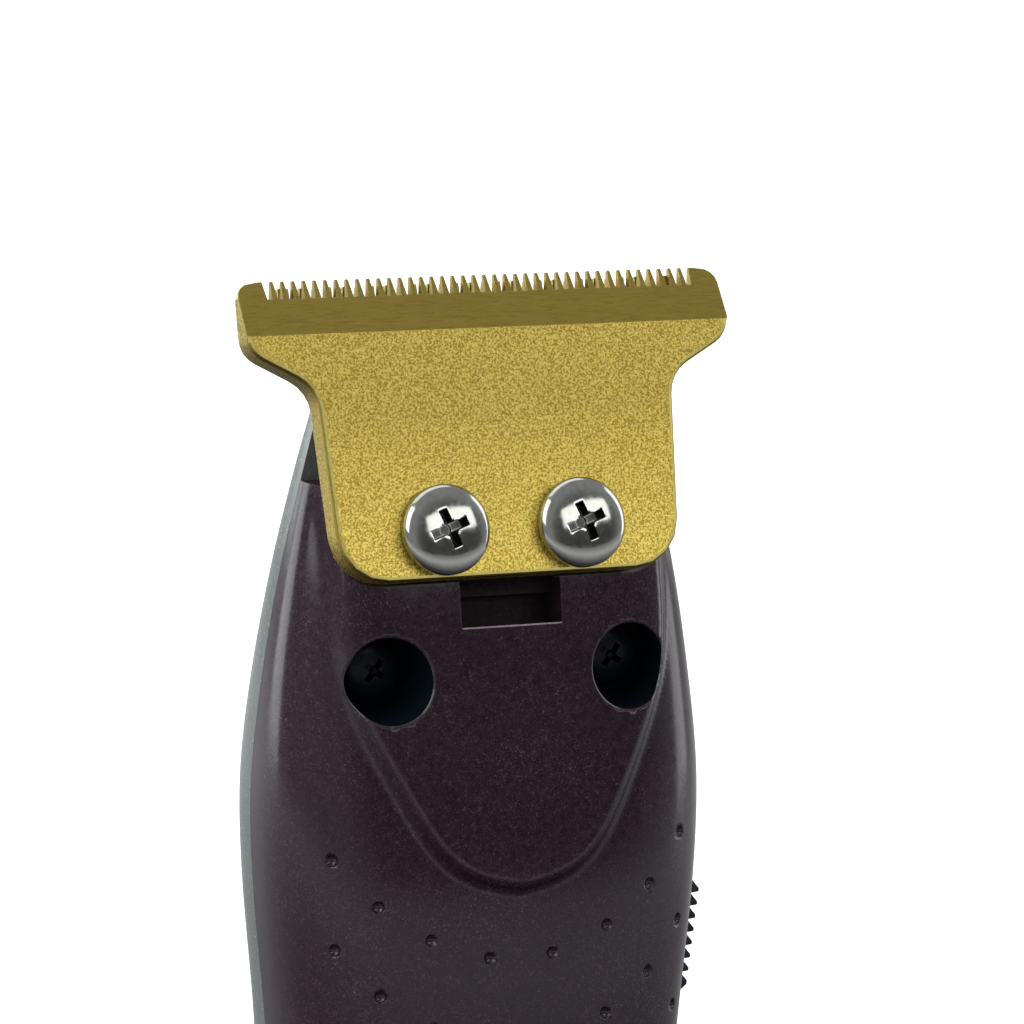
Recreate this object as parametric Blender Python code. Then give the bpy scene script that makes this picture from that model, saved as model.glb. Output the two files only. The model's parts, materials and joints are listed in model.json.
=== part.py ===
"""Cordless beard trimmer with a T-shaped blade, standing on its base.

Metres, +Z up. The blade faces -Y, the slide switch is on the +X side, and the long axis is Z.
"""

import math

import bmesh
import bpy
from mathutils import Matrix, Vector

MM = 0.001

# Overall sizes. Heights are above the surface that the base stands on.
TOTAL_LENGTH = 158 * MM
GRIP_HALF_WIDTH = 18.2 * MM
WAIST_HALF_WIDTH = 15.0 * MM
BASE_HALF_WIDTH = 15.5 * MM
BODY_HALF_DEPTH = 12.2 * MM
FRONT_SQUARENESS = 3.0
REAR_SQUARENESS = 2.6
SHELL_WALL = 2.0 * MM

# Clearances.
SEAM_GAP = 0.3 * MM
REST_GAP = 0.3 * MM
RUNNING_GAP = 0.05 * MM
HOLE_GAP = 0.2 * MM

# How far cutters reach past what they cut: a little, or right out of the body.
PAST = 1.0 * MM
FAR = 60 * MM

# Head: the blade leans back by this angle, and everything on it is measured from the tooth tips,
# down along the blade and back from its outer face.
BLADE_TILT = math.radians(17.6)
TIP_DEPTH = -1.4 * MM
FRONT_NECK_DROP = 16.0 * MM
REAR_NECK_DROP = 9.0 * MM
NECK_HALF_WIDTH = 12.8 * MM
NECK_BACK = 6.2 * MM

# Fixed blade.
BLADE_THICK = 2.2 * MM
BLADE_HALF_WIDTH = 19.9 * MM
BLADE_BAR = 5.6 * MM
BLADE_LENGTH = 23.6 * MM
STEM_HALF_WIDTH = 13.9 * MM
GRIND_LENGTH = 4.4 * MM
TOOTH_PROUD = 0.1 * MM
TIP_THICK = 0.3 * MM
TOOTH_PITCH = 0.87 * MM
GAP_COUNT = 41
GAP_LENGTH = 1.45 * MM
GAP_MOUTH = 0.66 * MM
GAP_ROOT = 0.36 * MM

# Moving cutter. Its teeth are coarser: three to every four of the fixed blade's.
CUTTER_THICK = 1.5 * MM
CUTTER_SETBACK = 0.5 * MM
CUTTER_HALF_WIDTH = 16.4 * MM
CUTTER_BAR = 6.0 * MM
CUTTER_LENGTH = 12.0 * MM
CUTTER_STEM_HALF_WIDTH = 9.8 * MM
CUTTER_GRIND = 3.4 * MM
CUTTER_TIP_THICK = 0.6 * MM
CUTTER_PITCH = TOOTH_PITCH * 4 / 3
CUTTER_GAP_COUNT = 27
CUTTER_GAP_LENGTH = 1.8 * MM
CUTTER_GAP_MOUTH = 0.9 * MM
CUTTER_GAP_ROOT = 0.6 * MM
WINDOW_HALF_WIDTH = 3.0 * MM
WINDOW_TOP = 7.4 * MM
WINDOW_BOTTOM = 9.6 * MM
HALF_STROKE = 1.0 * MM

# Blade screws, and what they clamp.
BLADE_SCREW_SPREAD = 5.6 * MM
BLADE_SCREW_DROP = 19.9 * MM
BLADE_SCREW_RADIUS = 1.5 * MM
BLADE_SCREW_HEAD_RADIUS = 3.5 * MM
BLADE_SCREW_HEAD_HEIGHT = 1.9 * MM
NUT_PLATE_THICK = 1.4 * MM
NUT_PLATE_HALF_WIDTH = 8.6 * MM
NUT_PLATE_HALF_LENGTH = 0.22 * BODY_HALF_DEPTH
SPRING_THICK = 0.4 * MM
SPRING_ARM_WIDTH = 1.8 * MM

# Pocket below the blade.
POCKET_HALF_WIDTH = 4.15 * MM
POCKET_LENGTH = 3.7 * MM
POCKET_DEPTH = 3.2 * MM
POCKET_LEDGE = 1.2 * MM
POCKET_RIM = 1.3 * MM

# Raised shield round the wells.
SHIELD_HALF_WIDTH = 13.2 * MM
SHIELD_BOTTOM_DROP = 47.0 * MM
SHIELD_RISE = 1.2 * MM
SHIELD_DRAFT = 2.2 * MM

# Housing screws in their wells. One pair is at the neck, one near the base.
WELL_SPREAD = 9.9 * MM
NECK_WELL_DROP = 30.3 * MM
BASE_WELL_SPREAD = 8.6 * MM
BASE_WELL_HEIGHT = 19.5 * MM
WELL_RADIUS = 3.3 * MM
WELL_WALL = 1.2 * MM
WELL_FLOOR_DEPTH = 3.0 * MM
HOUSING_SCREW_RADIUS = 1.1 * MM
HOUSING_SCREW_HEAD_RADIUS = 2.4 * MM
HOUSING_SCREW_HEAD_HEIGHT = 1.6 * MM
HOUSING_SCREW_REACH = 5.0 * MM
SCREW_BOSS_WALL = 1.6 * MM

# Motor and drive. The motor stands upright behind the middle of the body.
MOTOR_DEPTH = 1.6 * MM
MOTOR_TOP_DROP = 37.5 * MM
MOTOR_LENGTH = 27.5 * MM
MOTOR_HALF_WIDTH = 9.2 * MM
MOTOR_HALF_FLAT = BODY_HALF_DEPTH - SHELL_WALL - MOTOR_DEPTH - 1.4 * MM
MOTOR_WALL = 0.8 * MM
MOTOR_NOSE_RADIUS = 2.6 * MM
MOTOR_NOSE_HEIGHT = 1.6 * MM
SHAFT_RADIUS = 1.0 * MM
ARMATURE_RADIUS = MOTOR_HALF_FLAT - MOTOR_WALL - 0.8 * MM
END_BELL_THICK = 2.5 * MM
HUB_RADIUS = 3.8 * MM
HUB_HEIGHT = 5.0 * MM
HUB_LIFT = 3.4 * MM
PIN_RADIUS = 0.75 * MM
PIN_LENGTH = 10.0 * MM
MOUNT_THICK = 1.5 * MM
MOUNT_HALF_WIDTH = 12.6 * MM
MOUNT_FRONT = 5.5 * MM
MOUNT_BACK = 3.5 * MM
MOTOR_SCREW_SPREAD = 5.2 * MM
MOTOR_SCREW_RADIUS = 0.9 * MM
MOTOR_SCREW_HEAD_RADIUS = 1.7 * MM
MOTOR_SCREW_HEAD_HEIGHT = 1.0 * MM
MOTOR_SLIT_HALF = 0.25 * MM
MOTOR_SLIT_DEPTH = 0.45 * MM
MAGNET_GAP = 0.5 * MM
MAGNET_MARGIN = 3 * MM
ARMATURE_MARGIN = 2 * MM
ARMATURE_SLOT_HALF = 0.6 * MM
TERMINAL_LENGTH = 3.6 * MM
TERMINAL_HALF_WIDTH = 0.9 * MM

# Follower fork: its slot takes the pin's whole swing plus the cutter's own stroke.
SLOT_HALF_WIDTH = PIN_RADIUS + 2 * HALF_STROKE + HOLE_GAP
FORK_WALL = 1.2 * MM
FOLLOWER_HALF_WIDTH = NUT_PLATE_HALF_WIDTH - SPRING_ARM_WIDTH - HALF_STROKE - REST_GAP
FOLLOWER_FOOT = 1.2 * MM

# Slide switch on the +X wall.
SWITCH_HEIGHT = 104.0 * MM
BUTTON_HALF_LENGTH = 5.0 * MM
BUTTON_HALF_WIDTH = 3.4 * MM
BUTTON_RISE = 1.1 * MM
BUTTON_RIBS = 8
RIB_HEIGHT = 0.7 * MM
RIB_MARGIN = 0.6 * MM
SWITCH_TRAVEL = 3.4 * MM
STEM_HALF_LENGTH = 1.8 * MM
STEM_HALF_THICK = 1.3 * MM
SEAT_DEPTH = 0.45 * MM
LEVER_HALF = 0.8 * MM
SWITCH_BODY_HALF_LENGTH = 5.2 * MM
SWITCH_BODY_HALF_WIDTH = 2.6 * MM
SWITCH_BODY_THICK = 2.4 * MM
SWITCH_BOARD_THICK = 0.8 * MM

# Battery, board and charging inlet.
BATTERY_DEPTH = 2.2 * MM
BATTERY_RADIUS = BODY_HALF_DEPTH - SHELL_WALL - BATTERY_DEPTH - 0.9 * MM
BATTERY_LENGTH = 50 * MM
BATTERY_BOTTOM = 27 * MM
PAD_THICK = 1.5 * MM
TAB_THICK = 0.3 * MM
TAB_HALF_WIDTH = 2.0 * MM
BOARD_HALF_WIDTH = 8.4 * MM
BOARD_THICK = 1.0 * MM
BOARD_FACE = -BODY_HALF_DEPTH + SHELL_WALL + 2.0 * MM
BOARD_BOTTOM = 30 * MM
BOARD_LENGTH = 52 * MM
CHIP_HALF = 2.4 * MM
CHIP_HEIGHT = 1.0 * MM
CHIP_LENGTH = 5 * MM
CHIP_LIFT = 12 * MM
CHARGE_LIFT = 5 * MM
COIL_ACROSS = 4.6 * MM
CAPACITOR_ACROSS = -5.5 * MM
COIL_RADIUS = 2.3 * MM
CAPACITOR_RADIUS = 1.4 * MM
LIGHT_RADIUS = 1.3 * MM
LIGHT_HEIGHT = 56 * MM
LED_HALF = 0.8 * MM
CAP_HEIGHT = 3.0 * MM
CAP_PLUG_HEIGHT = 4.0 * MM
CAP_PLUG_WALL = 1.4 * MM
CAP_EDGE = 1.1 * MM
INLET_HALF_WIDTH = 4.2 * MM
INLET_HALF_DEPTH = 2.4 * MM
INLET_DEEP = 8.0 * MM
INLET_WALL = 1.0 * MM
INLET_RECESS = 0.3 * MM
INLET_CONTACT_RADIUS = 0.45 * MM
INLET_CONTACT_EDGE = 1.2 * MM
INLET_CONTACT_BACK = 1.0 * MM

RING_POINTS = 44
BODY_RINGS = 19
ROUND = 24
SMALL_ROUND = 16


def clear_scene():
    for old in list(bpy.data.objects):
        bpy.data.objects.remove(old, do_unlink=True)


def material(name, colour, roughness, metallic):
    made = bpy.data.materials.new(name)
    made.use_nodes = True
    shader = made.node_tree.nodes["Principled BSDF"]
    shader.inputs["Base Color"].default_value = (*colour, 1)
    shader.inputs["Roughness"].default_value = roughness
    shader.inputs["Metallic"].default_value = metallic
    made.diffuse_color = (*colour, 1)
    return made


PLUM = ("plum_plastic", (0.020, 0.014, 0.022), 0.25, 0.0)
GREY = ("grey_plastic", (0.035, 0.035, 0.040), 0.35, 0.0)
BLACK = ("black_plastic", (0.010, 0.010, 0.011), 0.55, 0.0)
WHITE = ("white_plastic", (0.75, 0.74, 0.70), 0.45, 0.0)
GOLD = ("gold_plate", (0.62, 0.48, 0.12), 0.32, 1.0)
NICKEL = ("nickel", (0.60, 0.60, 0.57), 0.18, 1.0)
BLACK_OXIDE = ("black_oxide", (0.013, 0.015, 0.019), 0.22, 0.6)
STEEL = ("steel", (0.45, 0.45, 0.46), 0.35, 1.0)
COPPER = ("copper", (0.70, 0.33, 0.16), 0.35, 1.0)
BRASS = ("brass", (0.70, 0.52, 0.22), 0.30, 1.0)
BOARD_GREEN = ("board_green", (0.02, 0.16, 0.06), 0.45, 0.0)
SLEEVE = ("battery_sleeve", (0.05, 0.22, 0.42), 0.40, 0.0)
FOAM = ("foam", (0.04, 0.04, 0.04), 0.95, 0.0)
CLEAR = ("clear_plastic", (0.70, 0.72, 0.74), 0.10, 0.0)


def shared_material(recipe):
    return bpy.data.materials.get(recipe[0]) or material(*recipe)


def empty(name, place=(0, 0, 0), turn=(0, 0, 0), parent=None):
    made = bpy.data.objects.new(name, None)
    made.location = place
    made.rotation_euler = turn
    made.parent = parent
    bpy.context.scene.collection.objects.link(made)
    return made


def add_object(name, bm, recipe, parent=None, smooth=False):
    """An object from a bmesh, with its normals facing out."""
    bmesh.ops.remove_doubles(bm, verts=bm.verts, dist=1e-7)
    bmesh.ops.recalc_face_normals(bm, faces=bm.faces)
    for face in bm.faces:
        face.smooth = smooth
    mesh = bpy.data.meshes.new(name)
    bm.to_mesh(mesh)
    bm.free()
    made = bpy.data.objects.new(name, mesh)
    made.parent = parent
    bpy.context.scene.collection.objects.link(made)
    if recipe:
        mesh.materials.append(shared_material(recipe))
    return made


def add_helper(name, bm, parent=None):
    """An object that only shapes others: a cutter, or a solid that is joined to one."""
    made = add_object(name, bm, None, parent)
    made.hide_render = True
    made.display_type = "WIRE"
    return made


def shape_with(target, operation, *helpers):
    for helper in helpers:
        step = target.modifiers.new(helper.name, "BOOLEAN")
        step.operation = operation
        step.solver = "EXACT"
        step.object = helper
    return target


def cut(target, *helpers):
    return shape_with(target, "DIFFERENCE", *helpers)


def join(target, *helpers):
    return shape_with(target, "UNION", *helpers)


def keep(target, *helpers):
    return shape_with(target, "INTERSECT", *helpers)


def box(bm, x, y, z):
    """A box between two values on each axis."""
    size = Vector((x[1] - x[0], y[1] - y[0], z[1] - z[0]))
    middle = Vector((sum(x), sum(y), sum(z))) / 2
    matrix = Matrix.Translation(middle) @ Matrix.Diagonal((*size, 1))
    bmesh.ops.create_cube(bm, size=1, matrix=matrix)


def new_box(x, y, z):
    bm = bmesh.new()
    box(bm, x, y, z)
    return bm


def rod(bm, radius, low, high, at=(0, 0), axis="Z", points=ROUND, end_radius=None):
    """A cylinder or cone along X, Y or Z. at is its place on the other two axes, in order."""
    matrix = Matrix.Translation((at[0], at[1], (low + high) / 2))
    if axis == "Y":
        place = Matrix.Translation((at[0], (low + high) / 2, at[1]))
        matrix = place @ Matrix.Rotation(math.radians(-90), 4, "X")
    if axis == "X":
        place = Matrix.Translation(((low + high) / 2, at[0], at[1]))
        matrix = place @ Matrix.Rotation(math.radians(90), 4, "Y")
    bmesh.ops.create_cone(
        bm,
        cap_ends=True,
        segments=points,
        radius1=radius,
        radius2=radius if end_radius is None else end_radius,
        depth=high - low,
        matrix=matrix,
    )


def new_rod(*args, **options):
    bm = bmesh.new()
    rod(bm, *args, **options)
    return bm


def rounded(corners, steps=4):
    """An outline through corners of (across, along, radius), each rounded to its radius."""
    outline = []
    for index, (across, along, radius) in enumerate(corners):
        corner = Vector((across, along))
        before = (Vector(corners[index - 1][:2]) - corner).normalized()
        after = (Vector(corners[(index + 1) % len(corners)][:2]) - corner).normalized()
        if radius == 0:
            outline.append(corner)
            continue
        half = before.angle(after) / 2
        middle = corner + (before + after).normalized() * radius / math.sin(half)
        first = (corner + before * radius / math.tan(half) - middle).normalized()
        last = (corner + after * radius / math.tan(half) - middle).normalized()
        for step in range(steps + 1):
            outline.append(middle + first.slerp(last, step / steps) * radius)
    return outline


def prism(bm, outline, low, high, axis="Y"):
    """The outline drawn between two depths. It lies in XZ for a depth on Y, in YZ for X, in XY for Z."""
    lay = {
        "Y": lambda across, along, depth: (across, depth, along),
        "X": lambda across, along, depth: (depth, across, along),
        "Z": lambda across, along, depth: (across, along, depth),
    }[axis]
    near = [bm.verts.new(lay(point[0], point[1], low)) for point in outline]
    face = bm.faces.new(near)
    drawn = bmesh.ops.extrude_face_region(bm, geom=[face])["geom"]
    far = [item for item in drawn if isinstance(item, bmesh.types.BMVert)]
    shift = Vector(lay(0, 0, high - low))
    bmesh.ops.translate(bm, verts=far, vec=shift)


def new_prism(*args, **options):
    bm = bmesh.new()
    prism(bm, *args, **options)
    return bm


def new_wedge(foot, tip, outward, half_width):
    """A slab on the outward side of the plane through two (back, up) points, for grinding an edge."""
    foot, tip = Vector(foot), Vector(tip)
    run = tip - foot
    outline = [foot - run, tip + run, tip + run + Vector(outward), foot - run + Vector(outward)]
    return new_prism(outline, -half_width, half_width, axis="X")


def drop_height(drop):
    """The height of what lies this far below the tooth tips."""
    return TOTAL_LENGTH - drop


def seat_depth(height, behind):
    """Where the plane this far behind the blade's outer face meets a height, on Y."""
    below = (TOTAL_LENGTH - height - behind * math.sin(BLADE_TILT)) / math.cos(BLADE_TILT)
    return TIP_DEPTH - below * math.sin(BLADE_TILT) + behind * math.cos(BLADE_TILT)


def body_stations():
    """(height, half width, front reach, back reach) from the base up to the top of the neck."""
    seat = BLADE_THICK + RUNNING_GAP
    neck = drop_height(FRONT_NECK_DROP)
    foot = drop_height(BLADE_LENGTH)
    full = BODY_HALF_DEPTH
    return [
        (0, BASE_HALF_WIDTH, full - 0.6 * MM, full - 0.6 * MM),
        (drop_height(138 * MM), BASE_HALF_WIDTH + 0.2 * MM, full - 0.3 * MM, full - 0.1 * MM),
        (drop_height(103 * MM), WAIST_HALF_WIDTH, full - 0.6 * MM, full - 0.5 * MM),
        (drop_height(76 * MM), WAIST_HALF_WIDTH + 0.6 * MM, full - 0.2 * MM, full - 0.2 * MM),
        (drop_height(60 * MM), GRIP_HALF_WIDTH - 1.5 * MM, full, full),
        (drop_height(48 * MM), GRIP_HALF_WIDTH - 0.3 * MM, full - 0.8 * MM, full - 0.1 * MM),
        (drop_height(40 * MM), GRIP_HALF_WIDTH, full - 2.1 * MM, full - 0.5 * MM),
        (drop_height(32 * MM), GRIP_HALF_WIDTH - 0.7 * MM, full - 3.9 * MM, full - 1.4 * MM),
        (foot, GRIP_HALF_WIDTH - 2.0 * MM, -seat_depth(foot, seat), full - 3.0 * MM),
        (neck, NECK_HALF_WIDTH + 1.7 * MM, 0.1 * MM - seat_depth(neck, seat), NECK_BACK + 2.0 * MM),
        (drop_height(REAR_NECK_DROP), NECK_HALF_WIDTH, 1.0 * MM - TIP_DEPTH, NECK_BACK),
    ]


def station_at(height):
    """The body's (half width, front reach, back reach) at a height, on a smooth curve."""
    table = body_stations()
    slopes = []
    for index in range(len(table)):
        low = table[max(index - 1, 0)]
        high = table[min(index + 1, len(table) - 1)]
        slopes.append([(high[i] - low[i]) / (high[0] - low[0]) for i in (1, 2, 3)])
    place = 0
    while place < len(table) - 2 and height > table[place + 1][0]:
        place += 1
    low, high = table[place], table[place + 1]
    span = high[0] - low[0]
    t = min(max((height - low[0]) / span, 0), 1)
    values = []
    for i in range(3):
        start, end = low[i + 1], high[i + 1]
        pull = (slopes[place][i] * (t**3 - 2 * t**2 + t) + slopes[place + 1][i] * (t**3 - t**2)) * span
        values.append(start * (2 * t**3 - 3 * t**2 + 1) + end * (3 * t**2 - 2 * t**3) + pull)
    return values


def ring_at(height, grow=0.0):
    """Points round the body at a height, its surface moved out by grow."""
    half_width, front, back = station_at(height)
    points = []
    for index in range(RING_POINTS):
        turn = math.tau * index / RING_POINTS
        across, along = math.cos(turn), math.sin(turn)
        rear = along > 0
        power = 2 / (REAR_SQUARENESS if rear else FRONT_SQUARENESS)
        reach = back if rear else front
        x = math.copysign(abs(across) ** power, across) * (half_width + grow)
        y = math.copysign(abs(along) ** power, along) * (reach + grow)
        points.append((x, y, height))
    return points


def body_heights(low, high):
    """Ring heights from low to high, closer together where the shoulders curve."""
    steps = BODY_RINGS - 1
    return [low + (high - low) * (1 - (1 - step / steps) ** 1.35) for step in range(steps + 1)]


def loft(bm, rings):
    """Skins rings of equal length, and closes both ends."""
    rows = [[bm.verts.new(point) for point in ring] for ring in rings]
    bm.faces.new(rows[0])
    bm.faces.new(rows[-1])
    for lower, upper in zip(rows, rows[1:]):
        for index in range(len(lower)):
            after = (index + 1) % len(lower)
            bm.faces.new((lower[index], lower[after], upper[after], upper[index]))


def new_body(low, high, grow=0.0):
    bm = bmesh.new()
    loft(bm, [ring_at(height, grow) for height in body_heights(low, high)])
    return bm


def front_reach(height, across):
    """How far forward the body's surface is at a height and a distance from its middle, on Y."""
    half_width, front, _ = station_at(height)
    inside = max(0.0, 1 - (abs(across) / half_width) ** FRONT_SQUARENESS)
    return -front * inside ** (1 / FRONT_SQUARENESS)


def teeth_outline(half_width, pitch, count, mouth, root, length, top):
    """The toothed edge from left to right at height top, as points."""
    points = [(-half_width, top)]
    for index in range(count):
        middle = (index - (count - 1) / 2) * pitch
        points += [
            (middle - mouth / 2, top),
            (middle - root / 2, top - length),
            (middle + root / 2, top - length),
            (middle + mouth / 2, top),
        ]
    return points + [(half_width, top)]


def blade_side(grow=0.0):
    """The corners of the blade's right-hand side, from the top one down to the bottom one."""
    bar = BLADE_HALF_WIDTH + grow
    stem = STEM_HALF_WIDTH + grow
    return [
        (bar, -TOOTH_PROUD + grow, 1.2 * MM),
        (bar, -BLADE_BAR - grow, 2.2 * MM),
        (stem + 0.8 * MM, -BLADE_BAR - 2.9 * MM - grow, 3.0 * MM),
        (stem, -BLADE_LENGTH - grow, 3.9 * MM + grow),
    ]


def mirrored(right):
    """A closed outline from the corners of its right-hand side."""
    left = [(-across, along, radius) for across, along, radius in reversed(right)]
    return rounded(right + left)


def blade_screw_places():
    return (("left", -BLADE_SCREW_SPREAD), ("right", BLADE_SCREW_SPREAD))


def cut_screw_holes(target, parent, low, high, radius=BLADE_SCREW_RADIUS + HOLE_GAP):
    """Holes for both blade screws, between two depths behind the blade's face."""
    for side, across in blade_screw_places():
        hole = new_rod(radius, low, high, at=(across, -BLADE_SCREW_DROP), axis="Y")
        cut(target, add_helper(f"cut_{target.name}_{side}", hole, parent))


def make_fixed_blade(head):
    """Outer face at y = 0 and tooth tips at z = 0, the face ground back towards the tips."""
    reach = (GAP_COUNT - 1) / 2 * TOOTH_PITCH + TOOTH_PITCH / 2 + GAP_MOUTH / 4
    teeth = teeth_outline(reach, TOOTH_PITCH, GAP_COUNT, GAP_MOUTH, GAP_ROOT, GAP_LENGTH, 0)
    bm = new_prism(mirrored(blade_side()) + teeth, 0, BLADE_THICK)
    blade = add_object("fixed_blade", bm, GOLD, head)
    grind = new_wedge(
        (0, -GRIND_LENGTH), (BLADE_THICK - TIP_THICK, 0), (-FAR, 0), BLADE_HALF_WIDTH + PAST
    )
    cut(blade, add_helper("cut_blade_grind", grind, head))
    cut_screw_holes(blade, head, -MM, BLADE_THICK + MM)


def make_moving_cutter(head):
    """Slides along X behind the fixed blade. The follower's boss sits in its window."""
    face = BLADE_THICK + RUNNING_GAP
    back = face + CUTTER_THICK
    half = CUTTER_HALF_WIDTH
    stem = CUTTER_STEM_HALF_WIDTH
    top = -CUTTER_SETBACK
    side = [
        (half, top, 0),
        (half, -CUTTER_BAR, 1.0 * MM),
        (stem, -CUTTER_BAR, 1.2 * MM),
        (stem, -CUTTER_LENGTH, 1.2 * MM),
    ]
    teeth = teeth_outline(
        half, CUTTER_PITCH, CUTTER_GAP_COUNT, CUTTER_GAP_MOUTH, CUTTER_GAP_ROOT, CUTTER_GAP_LENGTH, top
    )
    bm = new_prism(mirrored(side)[1:-1] + teeth, face, back)
    cutter = add_object("moving_cutter", bm, GOLD, head)
    grind = new_wedge(
        (back, top - CUTTER_GRIND), (face + CUTTER_TIP_THICK, top), (FAR, 0), CUTTER_HALF_WIDTH + PAST
    )
    cut(cutter, add_helper("cut_cutter_grind", grind, head))
    window = new_box(
        (-WINDOW_HALF_WIDTH, WINDOW_HALF_WIDTH), (face - MM, back + MM), (-WINDOW_BOTTOM, -WINDOW_TOP)
    )
    cut(cutter, add_helper("cut_cutter_window", window, head))


def head_point(height, depth):
    """(back, up) in the blade's own frame of a point in the middle plane, given its height and Y."""
    up, back = height - TOTAL_LENGTH, depth - TIP_DEPTH
    return (
        back * math.cos(BLADE_TILT) - up * math.sin(BLADE_TILT),
        back * math.sin(BLADE_TILT) + up * math.cos(BLADE_TILT),
    )


def pin_top():
    return drop_height(MOTOR_TOP_DROP) + HUB_LIFT + HUB_HEIGHT + PIN_LENGTH


def make_follower(head):
    """A foot behind the cutter, and two legs that reach back and down to the crank pin."""
    back = BLADE_THICK + RUNNING_GAP + CUTTER_THICK + RUNNING_GAP
    foot_back = back + FOLLOWER_FOOT
    front = BLADE_THICK + 2 * RUNNING_GAP
    outer = SLOT_HALF_WIDTH + FORK_WALL
    foot = new_box(
        (-FOLLOWER_HALF_WIDTH, FOLLOWER_HALF_WIDTH), (back, foot_back), (-CUTTER_LENGTH, -CUTTER_BAR)
    )
    follower = add_object("cutter_follower", foot, BLACK, head)
    gap = RUNNING_GAP
    boss = new_box(
        (gap - WINDOW_HALF_WIDTH, WINDOW_HALF_WIDTH - gap),
        (front, back + FOLLOWER_FOOT / 2),
        (gap - WINDOW_BOTTOM, -WINDOW_TOP - gap),
    )
    swing = PIN_RADIUS + HALF_STROKE
    top = pin_top()
    low_back, low_up = head_point(top - PIN_LENGTH * 0.42, MOTOR_DEPTH + swing)
    high_back, high_up = head_point(top - MM, MOTOR_DEPTH + swing)
    knee_front, knee_up = head_point(top - MM, MOTOR_DEPTH - swing)
    legs_outline = [
        (back + FOLLOWER_FOOT / 2, -CUTTER_BAR - 0.5 * MM),
        (foot_back + 0.6 * MM, -CUTTER_BAR - 0.5 * MM),
        (high_back, high_up),
        (low_back, low_up),
        (screw_reach() + 2 * REST_GAP, low_up),
        (screw_reach() + 2 * REST_GAP, knee_up),
        (back + FOLLOWER_FOOT / 2, -CUTTER_LENGTH),
    ]
    legs = new_prism(legs_outline, -outer, outer, axis="X")
    join(follower, add_helper("add_follower_boss", boss, head), add_helper("add_follower_legs", legs, head))
    slot = new_box(
        (-SLOT_HALF_WIDTH, SLOT_HALF_WIDTH),
        (foot_back, low_back + FAR),
        (low_up - FAR, head_point(top + PAST, MOTOR_DEPTH + swing)[1]),
    )
    cut(follower, add_helper("cut_follower_slot", slot, head))


def clamp_face():
    """How far behind the blade's outer face the nut plate starts."""
    return BLADE_THICK + RUNNING_GAP + SHELL_WALL + REST_GAP


def screw_reach():
    """How far behind the blade's outer face the blade screws end."""
    return clamp_face() + NUT_PLATE_THICK + REST_GAP + SPRING_THICK + 0.3 * MM


def make_nut_plate(head):
    low = -BLADE_SCREW_DROP - NUT_PLATE_HALF_LENGTH
    high = -BLADE_SCREW_DROP + NUT_PLATE_HALF_LENGTH
    corners = [
        (NUT_PLATE_HALF_WIDTH, high, 0.8 * MM),
        (NUT_PLATE_HALF_WIDTH, low, 0.8 * MM),
    ]
    bm = new_prism(mirrored(corners), clamp_face(), clamp_face() + NUT_PLATE_THICK)
    plate = add_object("nut_plate", bm, STEEL, head)
    cut_screw_holes(plate, head, clamp_face() - MM, clamp_face() + NUT_PLATE_THICK + MM)


def make_tension_spring(head):
    """A leaf on the nut plate whose two arms reach up and press the cutter forward."""
    base = clamp_face() + NUT_PLATE_THICK + REST_GAP
    low = -BLADE_SCREW_DROP - NUT_PLATE_HALF_LENGTH + 0.6 * MM
    high = -BLADE_SCREW_DROP + NUT_PLATE_HALF_LENGTH
    outer = NUT_PLATE_HALF_WIDTH
    bm = new_box((-outer, outer), (base, base + SPRING_THICK), (low, high))
    spring = add_object("tension_spring", bm, STEEL, head)
    touch = BLADE_THICK + RUNNING_GAP + CUTTER_THICK + RUNNING_GAP
    tip = -CUTTER_LENGTH + 2.5 * MM
    outline = [
        (base, high - MM),
        (base, high + 1.5 * MM),
        (touch, tip - 0.6 * MM),
        (touch + 0.5 * MM, tip + MM),
        (touch + 0.5 * MM + SPRING_THICK, tip + MM),
        (touch + SPRING_THICK, tip - 0.6 * MM),
        (base + SPRING_THICK, high + 1.5 * MM),
        (base + SPRING_THICK, high - MM),
    ]
    for side, sign in (("left", -1), ("right", 1)):
        edges = sorted((sign * outer, sign * (outer - SPRING_ARM_WIDTH)))
        arm = new_prism(outline, edges[0], edges[1], axis="X")
        join(spring, add_helper(f"add_spring_arm_{side}", arm, head))
    cut_screw_holes(spring, head, base - MM, base + SPRING_THICK + MM)


def pan_head(bm, radius, height, face, at):
    """A domed screw head whose flat side lies at face on Y, and which rises towards -Y."""
    steps = 3
    dome = [math.pi / 2 * step / steps for step in range(1, steps + 1)]
    levels = [0.0, 0.45] + [0.45 + 0.55 * math.sin(turn) for turn in dome]
    widths = [1.0, 1.0] + [math.cos(0.72 * turn) for turn in dome]
    rings = []
    for level, width in zip(levels, widths):
        ring = []
        for index in range(ROUND):
            turn = math.tau * index / ROUND
            across = at[0] + radius * width * math.cos(turn)
            along = at[1] + radius * width * math.sin(turn)
            ring.append((across, face - height * level, along))
        rings.append(ring)
    loft(bm, rings)


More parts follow.
